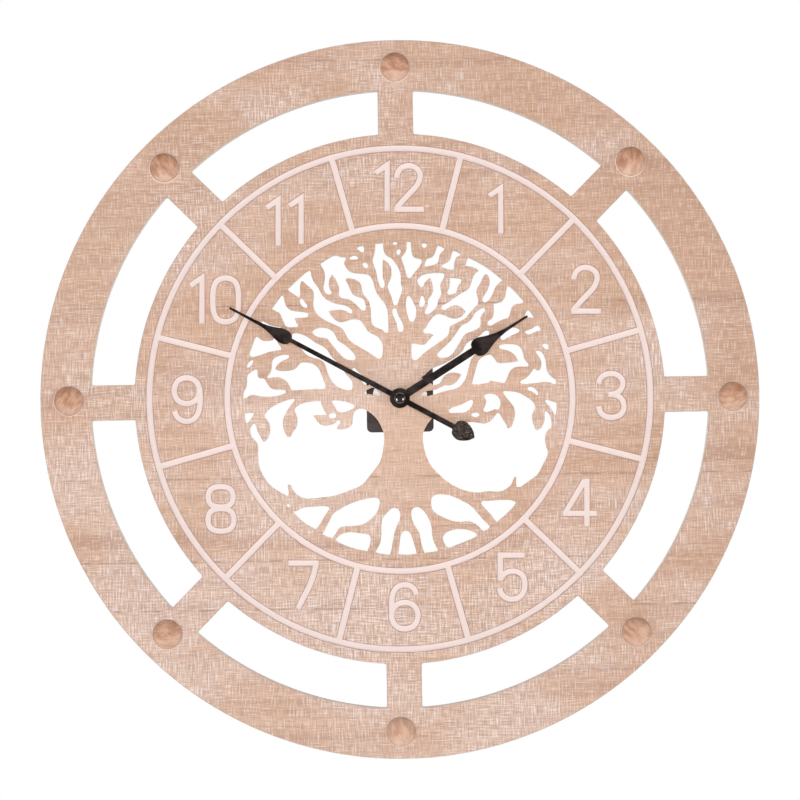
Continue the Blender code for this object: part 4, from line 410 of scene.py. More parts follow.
# Where the wash lies thicker, or thinner: right and up from the dial's centre, its reach, its share
WASH_SPOTS = (
    (-0.238, -0.003, 0.055, 1.9), (-0.165, 0.180, 0.06, 1.8), (-0.193, 0.128, 0.04, 1.0),
    (0.09, -0.17, 0.10, 1.0), (-0.03, -0.19, 0.07, 1.0), (-0.09, 0.235, 0.05, 1.2),
    (-0.02, 0.213, 0.06, 1.0), (0.02, 0.065, 0.07, 1.6), (0.065, -0.05, 0.05, 1.8),
    (-0.02, -0.13, 0.05, 1.0), (-0.10, 0.13, 0.08, -2.0), (-0.19, 0.03, 0.05, -1.2),
    (0.11, 0.18, 0.08, -1.5), (0.235, 0.17, 0.06, -1.0), (0.27, 0.09, 0.09, -1.6),
    (-0.28, 0.12, 0.08, -1.2), (-0.28, -0.11, 0.06, -1.0), (-0.107, -0.129, 0.04, -1.0),
    (0.13, -0.29, 0.06, -1.0),
)

# The ring that carries the engraving
DIAL_MIDDLE = (OUTER_GROOVE_RADIUS + INNER_GROOVE_RADIUS) / 2
DIAL_HALF_WIDTH = (OUTER_GROOVE_RADIUS - INNER_GROOVE_RADIUS) / 2 + GROOVE_WIDTH

# Plank seams, from the dial's centre
SEAMS = tuple(step * PICK for step in (340.0, 94.5, -78.0, -160.5, -209.0))
BAND_SHARE = 0.72                # where the cell's jacket changes colour, as a share of its length
CELL_END = 1.6 * MM
VALUE, VECTOR, COLOUR = "NodeSocketFloat", "NodeSocketVector", "NodeSocketColor"

# Studio
IMAGE_PIXELS = 800
FLOOR_HALF = 2.6
FLOOR_SPOT = (0.0, -0.6, -1.5)
CAMERA_DISTANCE = 1.9
CAMERA_ELEVATION = math.radians(-1.2)
CAMERA_ROLL = math.radians(-0.9)
CAMERA_LENS = 102.49             # mm, on a sensor 36 mm wide
CAMERA_SHIFT = (0.12 / IMAGE_PIXELS, -1.69 / IMAGE_PIXELS)


def smooth_path(picks, scale=1.0, lean=0.0, closed=True):
    """A smooth line through picked points, with more steps where it bends more."""
    turn = Matrix.Rotation(lean, 2)
    spots = [turn @ (Vector((pick[0], pick[1])) * scale) for pick in picks]
    sharp = [len(pick) == 3 for pick in picks]
    count = len(spots)
    line = []
    for i in range(count if closed else count - 1):
        before, here, after, beyond = (spots[(i + k) % count] for k in (-1, 0, 1, 2))
        chord = after - here
        leave = chord.normalized() if sharp[i] else (after - before).normalized()
        arrive = chord.normalized() if sharp[(i + 1) % count] else (beyond - here).normalized()
        reach = chord.length / 3
        steps = max(1, math.ceil((chord.angle(leave) + chord.angle(arrive)) / STEP_TURN))
        first = here + leave * reach
        second = after - arrive * reach
        for k in range(steps):
            t = k / steps
            s = 1 - t
            line.append(here * s ** 3 + first * 3 * s * s * t + second * 3 * s * t * t + after * t ** 3)
    if not closed:
        line.append(spots[-1])
    return line


def side_of(line, closed, offset):
    """The same line moved sideways, with its corners kept square."""
    count = len(line)
    moved = []
    for i, here in enumerate(line):
        ahead = line[(i + 1) % count] - here if closed or i < count - 1 else here - line[i - 1]
        behind = here - line[i - 1] if closed or i else ahead
        first, second = behind.normalized(), ahead.normalized()
        normal = Vector((-(first + second).y, (first + second).x)).normalized()
        moved.append(here + normal * offset / max(0.5, normal.dot(Vector((-second.y, second.x)))))
    return moved


def stroke_loops(picks, closed, half, centre):
    """The outline of a numeral's stroke of even width, along its picked points."""
    turn = Matrix.Rotation(PICK_LEAN, 2)
    line = [turn @ (point + centre) for point in smooth_path(picks, PICK, 0.0, closed)]
    left, right = side_of(line, closed, half), side_of(line, closed, -half)
    return [left, right] if closed else [left + right[::-1]]


def tidy_mesh(mesh):
    """Merge doubles and turn every face outwards."""
    work = bmesh.new()
    work.from_mesh(mesh)
    bmesh.ops.remove_doubles(work, verts=work.verts, dist=MERGE)
    bmesh.ops.recalc_face_normals(work, faces=work.faces)
    work.to_mesh(mesh)
    work.free()
    return mesh


def named(name, mesh):
    """An object for a mesh."""
    mesh.name = name
    obj = bpy.data.objects.new(name, mesh)
    bpy.context.scene.collection.objects.link(obj)
    return obj


def drawn(name, loops, low, high, edge=0.0, rounds=1):
    """A flat solid between two levels, with rounded edges: loops inside others are holes."""
    curve = bpy.data.curves.new(name, "CURVE")
    curve.dimensions = "2D"
    curve.fill_mode = "BOTH"
    curve.extrude = (high - low) / 2 - edge
    curve.bevel_depth = edge
    curve.bevel_resolution = rounds
    curve.offset = -edge
    for loop in loops:
        spline = curve.splines.new("POLY")
        spline.points.add(len(loop) - 1)
        spline.use_cyclic_u = True
        for point, (x, y) in zip(spline.points, loop):
            point.co = (x, y, 0.0, 1.0)
    pen = bpy.data.objects.new(name, curve)
    bpy.context.scene.collection.objects.link(pen)
    bpy.context.view_layer.update()
    mesh = bpy.data.meshes.new_from_object(pen.evaluated_get(bpy.context.evaluated_depsgraph_get()))
    bpy.data.objects.remove(pen)
    bpy.data.curves.remove(curve)
    mesh.transform(Matrix.Translation((0.0, 0.0, (low + high) / 2)))
    return named(name, tidy_mesh(mesh))


def lathed(name, profile, steps, closed=False, centre=(0.0, 0.0)):
    """A solid turned about a centre, from its profile of radius and level."""
    work = bmesh.new()
    points = [work.verts.new((radius, 0.0, level)) for radius, level in profile]
    edges = [work.edges.new(pair) for pair in zip(points, points[1:])]
    if closed:
        edges.append(work.edges.new((points[-1], points[0])))
    bmesh.ops.spin(work, geom=points + edges, cent=(0.0, 0.0, 0.0), axis=(0.0, 0.0, 1.0),
                   angle=2 * math.pi, steps=steps, use_merge=True)
    bmesh.ops.remove_doubles(work, verts=work.verts, dist=MERGE)
    bmesh.ops.recalc_face_normals(work, faces=work.faces)
    bmesh.ops.translate(work, verts=work.verts, vec=(*centre, 0.0))
    mesh = bpy.data.meshes.new(name)
    work.to_mesh(mesh)
    work.free()
    return named(name, mesh)


def dome_profile(radius, base, crown, steps):
    """The profile of a quarter oval, from the crown down to the base."""
    angles = [math.pi / 2 * i / steps for i in range(steps + 1)]
    return [(radius * math.sin(angle), base + (crown - base) * math.cos(angle)) for angle in angles]


def cut(target, cutters):
    """Cut a solid with each cutter in turn, then remove the cutters."""
    for cutter in cutters:
        boolean = target.modifiers.new(cutter.name, "BOOLEAN")
        boolean.operation = "DIFFERENCE"
        boolean.solver = "EXACT"
        boolean.object = cutter
        bpy.context.view_layer.update()
        mesh = bpy.data.meshes.new_from_object(
            target.evaluated_get(bpy.context.evaluated_depsgraph_get()))
        target.modifiers.clear()
        target.data = mesh
        bpy.data.objects.remove(cutter)
    target.data.name = target.name


def finished(obj, body, material, node):
    """Set a piece on the wall frame, shade it, and let it ride its body in place of its node."""
    obj.data.transform(TO_WALL)
    obj.data.shade_smooth()
    obj.data.set_sharp_from_angle(angle=SHARP_ANGLE)
    obj.data.materials.clear()
    obj.data.materials.append(material)
    for face in obj.data.polygons:
        face.material_index = 0
    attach(obj, body)
    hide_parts(node)


def arc(radius, start, step, count):
    """Points on a circle, a step apart."""
    return [Vector((radius * math.cos(start + step * i), radius * math.sin(start + step * i)))
            for i in range(count)]


def window_loop(index, grow=0.0):
    """One window between two spokes, bounded by two arcs and two spoke edges."""
    middle = 2 * math.pi * (index + 0.5) / SPOKES
    half = SPOKE_WIDTH / 2 - grow
    loop = []
    for radius, direction in ((WINDOW_OUTER + grow, 1), (WINDOW_INNER - grow, -1)):
        reach = math.pi / SPOKES - math.asin(half / radius)
        for i in range(WINDOW_STEPS + 1):
            angle = middle + direction * reach * (2 * i / WINDOW_STEPS - 1)
            loop.append(Vector((radius * math.cos(angle), radius * math.sin(angle))))
    corners = (0, WINDOW_STEPS, WINDOW_STEPS + 1, 2 * WINDOW_STEPS + 1)
    return rounded(loop, corners, WINDOW_CORNER, WINDOW_CORNER_STEPS)


def rounded(loop, corners, radius, steps):
    """The loop with some of its corners rounded off."""
    made = []
    count = len(loop)
    for i, here in enumerate(loop):
        if i not in corners:
            made.append(here)
            continue
        start = here + (loop[i - 1] - here).normalized() * radius
        end = here + (loop[(i + 1) % count] - here).normalized() * radius
        for k in range(steps + 1):
            t = k / steps
            made.append(start * (1 - t) ** 2 + here * 2 * t * (1 - t) + end * t * t)
    return made


def add(tree, kind, values=None, **settings):
    """A node with its settings, and its inputs as values or links."""
    node = tree.nodes.new(kind)
    for key, value in settings.items():
        setattr(node, key, value)
    for key, value in (values or {}).items():
        if isinstance(value, bpy.types.NodeSocket):
            tree.links.new(value, node.inputs[key])
        else:
            node.inputs[key].default_value = value
    return node


def maths(tree, operation, *inputs):
    """The result of a math node."""
    return add(tree, "ShaderNodeMath", dict(enumerate(inputs)), operation=operation).outputs[0]


def between(tree, value, low, high, to_low=0.0, to_high=1.0):
    """A value taken smoothly from one range to another."""
    node = add(tree, "ShaderNodeMapRange",
               {"Value": value, "From Min": low, "From Max": high, "To Min": to_low, "To Max": to_high},
               interpolation_type="SMOOTHSTEP")
    return node.outputs[0]


def noise(tree, place, scale, detail=2.0, rough=0.5):
    """The grain effect placed in a tree: its scale is the number of features a metre each way."""
    values = {"Place": place, "Scale": scale, "Detail": detail, "Roughness": rough}
    return add(tree, "ShaderNodeGroup", values, node_tree=GRAIN).outputs["Grain"]


def raw_noise(tree, place, scale, detail=2.0, rough=0.5):
    """The nodes of the grain effect, for use inside an effect."""
    spread = add(tree, "ShaderNodeVectorMath", {0: place, 1: scale}, operation="MULTIPLY")
    return add(tree, "ShaderNodeTexNoise",
               {"Vector": spread.outputs[0], "Scale": 1.0, "Detail": detail, "Roughness": rough}
               ).outputs[0]


def mixed(tree, share, first, second):
    """Two colours mixed by a share."""
    node = add(tree, "ShaderNodeMix", data_type="RGBA")
    for socket, value in ((node.inputs[0], share), (node.inputs[6], first), (node.inputs[7], second)):
        if isinstance(value, bpy.types.NodeSocket):
            tree.links.new(value, socket)
        else:
            socket.default_value = value
    return node.outputs[2]


def shader(name, metallic, roughness, specular):
    """A new material with its shader's own values, and its tree."""
    material = bpy.data.materials.new(name)
    material.use_nodes = True
    surface = material.node_tree.nodes["Principled BSDF"]
    surface.inputs["Metallic"].default_value = metallic
    surface.inputs["Roughness"].default_value = roughness
    surface.inputs["Specular IOR Level"].default_value = specular
    return material, material.node_tree, surface


def bumped(tree, surface, height, distance, strength):
    """Let a height bend the shader's normal."""
    bump = add(tree, "ShaderNodeBump", {"Strength": strength, "Distance": distance, "Height": height})
    tree.links.new(bump.outputs[0], surface.inputs["Normal"])


def effect(name, inputs, outputs):
    """A node group with named inputs and outputs: its tree and the sockets at its two ends."""
    tree = bpy.data.node_groups.new(name, "ShaderNodeTree")
    for title, kind in inputs.items():
        tree.interface.new_socket(title, in_out="INPUT", socket_type=kind)
    for title, kind in outputs.items():
        tree.interface.new_socket(title, in_out="OUTPUT", socket_type=kind)
    return tree, add(tree, "NodeGroupInput").outputs, add(tree, "NodeGroupOutput").inputs


def stretched_grain():
    """Effect: noise stretched along its own ways."""
    tree, given, made = effect("stretched_grain",
                               {"Place": VECTOR, "Scale": VECTOR, "Detail": VALUE, "Roughness": VALUE},
                               {"Grain": VALUE})
    grain = raw_noise(tree, given["Place"], given["Scale"], given["Detail"], given["Roughness"])
    tree.links.new(grain, made["Grain"])
    return tree


def worn_skin():
    """Effect: two colours in soft patches, under a fine skin that varies the roughness."""
    tree, given, made = effect("worn_skin",
                               {"Place": VECTOR, "Skin Scale": VECTOR, "Patch Scale": VECTOR,
                                "Low": COLOUR, "High": COLOUR, "Smooth": VALUE, "Rough": VALUE},
                               {"Colour": COLOUR, "Roughness": VALUE, "Height": VALUE})
    skin = raw_noise(tree, given["Place"], given["Skin Scale"], 3.0, 0.6)
    patches = raw_noise(tree, given["Place"], given["Patch Scale"], 3.0, 0.58)
    colour = mixed(tree, between(tree, patches, 0.33, 0.67), given["Low"], given["High"])
    tree.links.new(colour, made["Colour"])
    tree.links.new(between(tree, skin, 0.3, 0.7, given["Smooth"], given["Rough"]), made["Roughness"])
    tree.links.new(skin, made["Height"])
    return tree


def enamel_film():
    """Effect: black paint with a faint orange peel, and a grey-brown smear with pale specks on the tail."""
    tree, given, made = effect("enamel_film", {"Place": VECTOR, "Worn": COLOUR, "Tail Marks": VALUE},
                               {"Colour": COLOUR, "Height": VALUE})
    place = given["Place"]
    peel = raw_noise(tree, place, (900.0, 900.0, 900.0))
    film = raw_noise(tree, place, (120.0, 120.0, 120.0))
    specks = add(tree, "ShaderNodeTexVoronoi", {"Vector": place, "Scale": 640.0, "Randomness": 1.0})
    colour = mixed(tree, between(tree, film, 0.35, 0.70), (0.011, 0.0075, 0.0065, 1.0), given["Worn"])
    away = add(tree, "ShaderNodeVectorMath", {0: place, 1: TAIL_SPOT}, operation="DISTANCE").outputs["Value"]
    on_tail = between(tree, away, 0.013, 0.009, 0.0, given["Tail Marks"])
    smear = between(tree, raw_noise(tree, place, (500.0, 500.0, 500.0)), 0.36, 0.64)
    colour = mixed(tree, maths(tree, "MULTIPLY", on_tail, smear), colour, (0.075, 0.055, 0.047, 1.0))
    dots = maths(tree, "MULTIPLY", between(tree, specks.outputs[0], 0.27, 0.12), on_tail)
    colour = mixed(tree, dots, colour, (0.36, 0.30, 0.27, 1.0))
    tree.links.new(colour, made["Colour"])
    tree.links.new(peel, made["Height"])
    return tree


def threads(tree, place, across, breaks):
    """Fine brushed threads side by side, each broken in its own places: from 0.4 up to 1.4."""
    wander = noise(tree, place, (18.0, 1.0, 18.0), 1.0)
    count = maths(tree, "MULTIPLY_ADD", wander, 4.0, maths(tree, "DIVIDE", across, THREAD_SPACING))
    away = maths(tree, "ABSOLUTE", maths(tree, "SUBTRACT", maths(tree, "FRACT", count), 0.5))
    line = between(tree, away, 0.18, 0.03)
    whole = between(tree, noise(tree, place, breaks), 0.42, 0.60)
    return maths(tree, "MULTIPLY_ADD", line, whole, 0.4)


def whitewashed_wood():
    """Warm grained board under a thin whitewash brushed both ways, with a darker line beside its cut edges,
    and painted light and shade across its face.
    """
    material, tree, surface = shader("whitewashed_wood", 0.0, 0.62, 0.25)
    place = add(tree, "ShaderNodeTexCoord").outputs["Object"]
    axes = add(tree, "ShaderNodeSeparateXYZ", {0: place})
    height = maths(tree, "ADD", axes.outputs["Z"], DIAL_DROP)
    depth = maths(tree, "ADD", axes.outputs["Y"], BOARD_FACE)
    flat = add(tree, "ShaderNodeCombineXYZ", {0: axes.outputs["X"], 1: height}).outputs[0]
    out = add(tree, "ShaderNodeVectorMath", {0: flat}, operation="LENGTH").outputs["Value"]
    warp = noise(tree, place, (300.0, 1.0, 300.0), 1.0)

    # Bare wood: broad bands, soft grain and a few rusty streaks along the planks
    tan = (0.552, 0.340, 0.236, 1.0)
    light = (0.640, 0.415, 0.297, 1.0)
    deep_grain_and_shade = (0.405, 0.228, 0.150, 1.0)
    grain = noise(tree, place, (7.0, 2.0, 210.0), 4.0, 0.6)
    bands = noise(tree, place, (2.5, 1.0, 55.0), 3.0, 0.55)
    rust = noise(tree, place, (30.0, 10.0, 430.0), 3.0, 0.6)
    colour = mixed(tree, between(tree, grain, 0.34, 0.66), tan, light)
    colour = mixed(tree, between(tree, bands, 0.52, 0.70, 0.0, 0.45), colour, deep_grain_and_shade)
    colour = mixed(tree, between(tree, rust, 0.58, 0.70, 0.0, 0.45), colour, deep_grain_and_shade)
    # Painted light and shade: the wood is paler towards the centre, and darker towards the top and to the
    # right, where less light falls
    pale = (0.740, 0.520, 0.405, 1.0)
    colour = mixed(tree, between(tree, out, 0.12, 0.04, 0.0, 0.38), colour, pale)
    colour = mixed(tree, between(tree, height, -0.05, 0.28, 0.0, 0.16), colour, deep_grain_and_shade)
    colour = mixed(tree, between(tree, axes.outputs["X"], 0.10, 0.30, 0.0, 0.24), colour, deep_grain_and_shade)

    # Whitewash: a thin film in patches, laid thicker low down and to the left, which also paints in the
    # brighter light from below and the left
    lie = maths(tree, "ADD", noise(tree, place, (7.0, 1.0, 15.0), 2.0, 0.5),
                between(tree, height, 0.28, -0.30, -0.04, 0.09))
    lie = maths(tree, "ADD", lie, between(tree, axes.outputs["X"], -0.25, 0.30, 0.02, -0.05))
    lie = maths(tree, "ADD", lie, between(tree, out, 0.15, 0.05, 0.0, -0.14))
    lie = maths(tree, "ADD", lie, between(tree, out, 0.20, 0.26, 0.02, -0.02))
    thick = 0.0
    for right, up, reach, share in WASH_SPOTS:
        away = add(tree, "ShaderNodeVectorMath", {0: flat, 1: (right, up, 0.0)}, operation="DISTANCE")
        near = between(tree, away.outputs["Value"], reach, reach * 0.3)
        thick = maths(tree, "MULTIPLY_ADD", near, share, thick)
    lie = maths(tree, "MULTIPLY_ADD", thick, 0.05, lie)
    wash = between(tree, lie, 0.38, 0.68)
    strong = maths(tree, "MULTIPLY", between(tree, wash, 0.0, 1.0, 0.88, 1.0),
                   between(tree, out, 0.04, 0.20, 0.80, 1.0))
    strong = maths(tree, "MULTIPLY", strong, between(tree, thick, 0.0, 1.0, 1.0, 1.4))
    milky = (0.770, 0.640, 0.600, 1.0)
    colour = mixed(tree, maths(tree, "MULTIPLY", wash, 0.32), colour, milky)

    # Brush marks, upright or level by patches, in the dark threads of the wood and the pale wash
    upright = between(tree, noise(tree, place, (17.0, 1.0, 11.0), 2.0), 0.38, 0.60)
    level = maths(tree, "SUBTRACT", 1.0, upright)
    mostly_upright = maths(tree, "MULTIPLY", strong, between(tree, upright, 0.0, 1.0, 0.8, 1.0))
    mostly_level = maths(tree, "MULTIPLY", strong, between(tree, level, 0.0, 1.0, 0.8, 1.0))
    brushed = (
        (noise(tree, place, (1200.0, 1.0, 100.0), 0.0), 1.6, mostly_upright),
        (noise(tree, place, (100.0, 1.0, 1200.0), 0.0), 1.25, mostly_level),
        (noise(tree, place, (1300.0, 1.0, 1300.0), 0.0), 0.9, strong),
        (threads(tree, place, axes.outputs["X"], (370.0, 1.0, 85.0)), 0.50, mostly_upright),
        (threads(tree, place, height, (85.0, 1.0, 370.0)), 0.42, mostly_level),
    )
    tone = maths(tree, "MULTIPLY_ADD", warp, 0.14, 0.34)
    for thread, weight, where in brushed:
        stroke = maths(tree, "MULTIPLY", maths(tree, "SUBTRACT", thread, 0.5), where)
        tone = maths(tree, "MULTIPLY_ADD", stroke, weight, tone)
    colour = mixed(tree, between(tree, tone, 0.38, -0.10, 0.0, 0.62), colour, SCORCH)
    cover = maths(tree, "MULTIPLY", between(tree, tone, 0.44, 1.00),
                  between(tree, wash, 0.0, 1.0, 0.46, 0.75))
    warm_white, cool_white = (0.865, 0.755, 0.700, 1.0), (0.805, 0.760, 0.765, 1.0)
    cool = between(tree, noise(tree, place, (26.0, 1.0, 26.0), 2.0), 0.40, 0.62)
    colour = mixed(tree, cover, colour, mixed(tree, cool, warm_white, cool_white))

    # Seams between the planks, broken here and there
    seam_brown = (0.34, 0.20, 0.145, 1.0)
    ragged = between(tree, noise(tree, place, (60.0, 1.0, 60.0), 2.0), 0.42, 0.60)
    for seam in SEAMS:
        away = maths(tree, "ABSOLUTE", maths(tree, "SUBTRACT", height, seam))
        line = maths(tree, "MULTIPLY", between(tree, away, 0.0010, 0.0003), ragged)
        colour = mixed(tree, maths(tree, "MULTIPLY", line, 0.62), colour, seam_brown)

    # Darker steps beside every cut edge, darker beside the engraving than at the openings
    off_dial = maths(tree, "ABSOLUTE", maths(tree, "SUBTRACT", out, DIAL_MIDDLE))
    dial = maths(tree, "LESS_THAN", off_dial, DIAL_HALF_WIDTH)
    edge_dark = mixed(tree, dial, (0.47, 0.39, 0.35, 1.0), (0.33, 0.20, 0.18, 1.0))
    edge_line = maths(tree, "MULTIPLY", between(tree, depth, EDGE_STEP_DEPTH * 0.3, EDGE_STEP_DEPTH * 0.7),
                     between(tree, dial, 0.0, 1.0, 0.45, 0.80))
    colour = mixed(tree, edge_line, colour, edge_dark)

    # Lime in the engraving, greyer in the outer ring, and a touch darker on the groove floors as painted
    # shade
    lime_and_painted_halo = mixed(tree, between(tree, depth, 0.0008, 0.0012),
                 (0.805, 0.675, 0.635, 1.0), (0.785, 0.655, 0.615, 1.0))
    lime_and_painted_halo = mixed(tree, between(tree, warp, 0.35, 0.75, 0.0, 0.35), lime_and_painted_halo, (0.735, 0.603, 0.558, 1.0))
    lime_and_painted_halo = mixed(tree, between(tree, out, 0.200, 0.208, 0.0, 0.45), lime_and_painted_halo, (0.730, 0.605, 0.568, 1.0))

    # Sawn fibre in the openings
    sawn = mixed(tree, between(tree, noise(tree, place, (90.0, 700.0, 90.0), 2.0), 0.35, 0.65),
                 (0.83, 0.68, 0.57, 1.0), (0.90, 0.78, 0.68, 1.0))
    shallow = maths(tree, "LESS_THAN", depth, GROOVE_DEPTH * 1.1)
    walls = mixed(tree, maths(tree, "MULTIPLY", dial, shallow), sawn, lime_and_painted_halo)
    below = between(tree, depth, EDGE_STEP_DEPTH * 1.5, EDGE_STEP_DEPTH * 2.5)
    colour = mixed(tree, below, colour, walls)

    # Back: bare fibreboard with its flecks
    chips = noise(tree, place, (520.0, 1.0, 700.0), 3.0, 0.65)
    cloud = noise(tree, place, (12.0, 1.0, 12.0), 3.0, 0.55)
    bare = mixed(tree, between(tree, cloud, 0.35, 0.65),
                 (0.500, 0.345, 0.225, 1.0), (0.560, 0.395, 0.265, 1.0))
    bare = mixed(tree, between(tree, chips, 0.55, 0.72, 0.0, 0.55), bare, (0.360, 0.235, 0.150, 1.0))
    bare = mixed(tree, between(tree, chips, 0.44, 0.28, 0.0, 0.45), bare, (0.680, 0.510, 0.370, 1.0))
    rear = maths(tree, "GREATER_THAN", depth, BOARD_FACE - BOARD_BACK - RIM_ROUND / 2)
    colour = mixed(tree, rear, colour, bare)
    tree.links.new(colour, surface.inputs["Base Color"])
    bumped(tree, surface, tone, 0.00006, 0.6)
    return material


def button_wood():
    """Turned close-grained wood, each button with its own grain and lie, laid in its UV maps."""
    material, tree, surface = shader("button_wood", 0.0, 0.45, 0.35)
    place = add(tree, "ShaderNodeUVMap", uv_map="grain").outputs[0]
    lie = add(tree, "ShaderNodeSeparateXYZ", {0: add(tree, "ShaderNodeUVMap", uv_map="lie").outputs[0]})
    axes = add(tree, "ShaderNodeSeparateXYZ", {0: add(tree, "ShaderNodeTexCoord").outputs["Object"]})
    wander = noise(tree, place, (1.7, 1.7, 1.0), 2.0)
    lines = noise(tree, place, (3.0, 30.0, 1.0), 4.0, 0.6)
    bands = noise(tree, place, (2.4, 5.0, 1.0), 3.0, 0.6)
    pores = noise(tree, place, (7.0, 18.0, 1.0), 1.0)
    colour = mixed(tree, between(tree, bands, 0.38, 0.62),
                   (0.420, 0.200, 0.115, 1.0), (0.620, 0.362, 0.245, 1.0))
    colour = mixed(tree, between(tree, lines, 0.50, 0.70, 0.0, 0.40), colour, (0.34, 0.16, 0.09, 1.0))
    colour = mixed(tree, between(tree, wander, 0.50, 0.72, 0.0, 0.5), colour, (0.690, 0.450, 0.330, 1.0))
    colour = mixed(tree, between(tree, pores, 0.66, 0.74, 0.0, 0.7), colour, (0.28, 0.13, 0.08, 1.0))

    # Painted shade and light, as if lit from below: darker above, paler below and on the flank, and paler
    # low down on the clock
    up, drop = lie.outputs[1], axes.outputs["Z"]
    painted_light_tan = (0.86, 0.66, 0.555, 1.0)
    colour = mixed(tree, between(tree, up, 0.2, 1.0, 0.0, 0.38), colour, (0.36, 0.17, 0.10, 1.0))
    colour = mixed(tree, between(tree, up, 0.1, -0.9, 0.0, 0.27), colour, painted_light_tan)
    colour = mixed(tree, between(tree, drop, -0.16, -0.34, 0.0, 0.28), colour, (0.80, 0.58, 0.46, 1.0))
    stands = maths(tree, "SUBTRACT", -BUTTON_FOOT, axes.outputs["Y"])
    colour = mixed(tree, between(tree, stands, 0.0040, 0.0012, 0.0, 0.30), colour, painted_light_tan)

    # A dark line of painted contact shadow round the foot and a pale ring of painted light round that, both
    # lighter below where the light comes from
    below = between(tree, maths(tree, "MULTIPLY_ADD", lie.outputs[0], 0.5, up), 0.5, -0.5)
    below = maths(tree, "MULTIPLY", below, between(tree, drop, -0.10, 0.10, 0.5, 1.0))
    painted_shade_line = mixed(tree, below, (0.22, 0.13, 0.095, 1.0), (0.42, 0.27, 0.20, 1.0))
    lime_and_painted_halo = mixed(tree, below, (0.62, 0.44, 0.35, 1.0), (0.87, 0.72, 0.64, 1.0))
    ring = mixed(tree, maths(tree, "LESS_THAN", stands, (BUTTON_SHADE_LINE + BUTTON_HALO) / 2), lime_and_painted_halo, painted_shade_line)
    colour = mixed(tree, maths(tree, "LESS_THAN", stands, BUTTON_HALO * 1.5), colour, ring)
    tree.links.new(colour, surface.inputs["Base Color"])
    tree.links.new(between(tree, lines, 0.3, 0.7, 0.40, 0.55), surface.inputs["Roughness"])
    bumped(tree, surface, lines, 0.00004, 0.5)
    return material


def black_enamel(name, roughness, specular, index, tail_marks, worn):
    """Black paint, dull or glossy."""
    material, tree, surface = shader(name, 0.0, roughness, specular)
    surface.inputs["IOR"].default_value = index
    place = add(tree, "ShaderNodeTexCoord").outputs["Object"]
    film = add(tree, "ShaderNodeGroup", {"Place": place, "Worn": worn, "Tail Marks": tail_marks},
               node_tree=ENAMEL_FILM).outputs
    tree.links.new(film["Colour"], surface.inputs["Base Color"])
    bumped(tree, surface, film["Height"], 0.00004, 0.5)
    return material


def skinned(tree, surface, skin_scale, patch_scale, low, high, smooth, rough):
    """Place the worn skin and link its colour and roughness: the result is its height."""
    place = add(tree, "ShaderNodeTexCoord").outputs["Object"]
    skin = add(tree, "ShaderNodeGroup",
               {"Place": place, "Skin Scale": skin_scale, "Patch Scale": patch_scale,
                "Low": (*low, 1.0), "High": (*high, 1.0), "Smooth": smooth, "Rough": rough},
               node_tree=WORN_SKIN).outputs
    tree.links.new(skin["Colour"], surface.inputs["Base Color"])
    tree.links.new(skin["Roughness"], surface.inputs["Roughness"])
    return skin["Height"]


def moulded(name, low, high, smooth, rough, spark=900.0):
    """Moulded plastic or rubber with a fine eroded skin."""
    material, tree, surface = shader(name, 0.0, smooth, 0.4)
    height = skinned(tree, surface, (spark, spark, spark), (40.0, 40.0, 90.0), low, high, smooth, rough)
    bumped(tree, surface, height, 0.00003, 0.5)
    return material


def metal(name, low, high, smooth, rough):
    """Rolled or turned metal with fine drawing lines and dull patches."""
    material, tree, surface = shader(name, 1.0, smooth, 0.5)
    height = skinned(tree, surface, (60.0, 60.0, 900.0), (120.0, 120.0, 120.0), low, high, smooth, rough)
    bumped(tree, surface, height, 0.00002, 0.4)
    return material


def fibre():
    """Pale pressed felt."""
    material, tree, surface = shader("pale_fibre", 0.0, 0.9, 0.1)
    place = add(tree, "ShaderNodeTexCoord").outputs["Object"]
    hairs = noise(tree, place, (500.0, 900.0, 1500.0), 4.0, 0.7)
    lumps = noise(tree, place, (160.0, 160.0, 160.0), 3.0)
    colour = mixed(tree, between(tree, hairs, 0.35, 0.65), (0.86, 0.82, 0.79, 1.0), (0.93, 0.90, 0.88, 1.0))
    colour = mixed(tree, between(tree, lumps, 0.45, 0.7, 0.0, 0.3), colour, (0.78, 0.72, 0.68, 1.0))
    tree.links.new(colour, surface.inputs["Base Color"])
    bumped(tree, surface, hairs, 0.0001, 0.6)
    return material


def jacket():
    """The cell's printed jacket: plain bands of colour, no lettering."""
    material, tree, surface = shader("cell_jacket", 0.0, 0.3, 0.5)
    place = add(tree, "ShaderNodeTexCoord").outputs["Object"]
    axes = add(tree, "ShaderNodeSeparateXYZ", {0: place})
    scuffs = noise(tree, place, (900.0, 120.0, 120.0), 3.0, 0.6)
    low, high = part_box("battery")
    band = maths(tree, "GREATER_THAN", axes.outputs["X"], low.x + (high.x - low.x) * BAND_SHARE)
    colour = mixed(tree, band, (0.02, 0.12, 0.075, 1.0), (0.62, 0.60, 0.56, 1.0))
    colour = mixed(tree, between(tree, scuffs, 0.6, 0.75, 0.0, 0.4), colour, (0.30, 0.31, 0.29, 1.0))
    ends = maths(tree, "MAXIMUM", maths(tree, "GREATER_THAN", axes.outputs["X"], high.x - CELL_END),
                 maths(tree, "LESS_THAN", axes.outputs["X"], low.x + CELL_END))
    colour = mixed(tree, ends, colour, (0.62, 0.62, 0.60, 1.0))
    tree.links.new(colour, surface.inputs["Base Color"])
    tree.links.new(ends, surface.inputs["Metallic"])
    bumped(tree, surface, scuffs, 0.00002, 0.4)
    return material


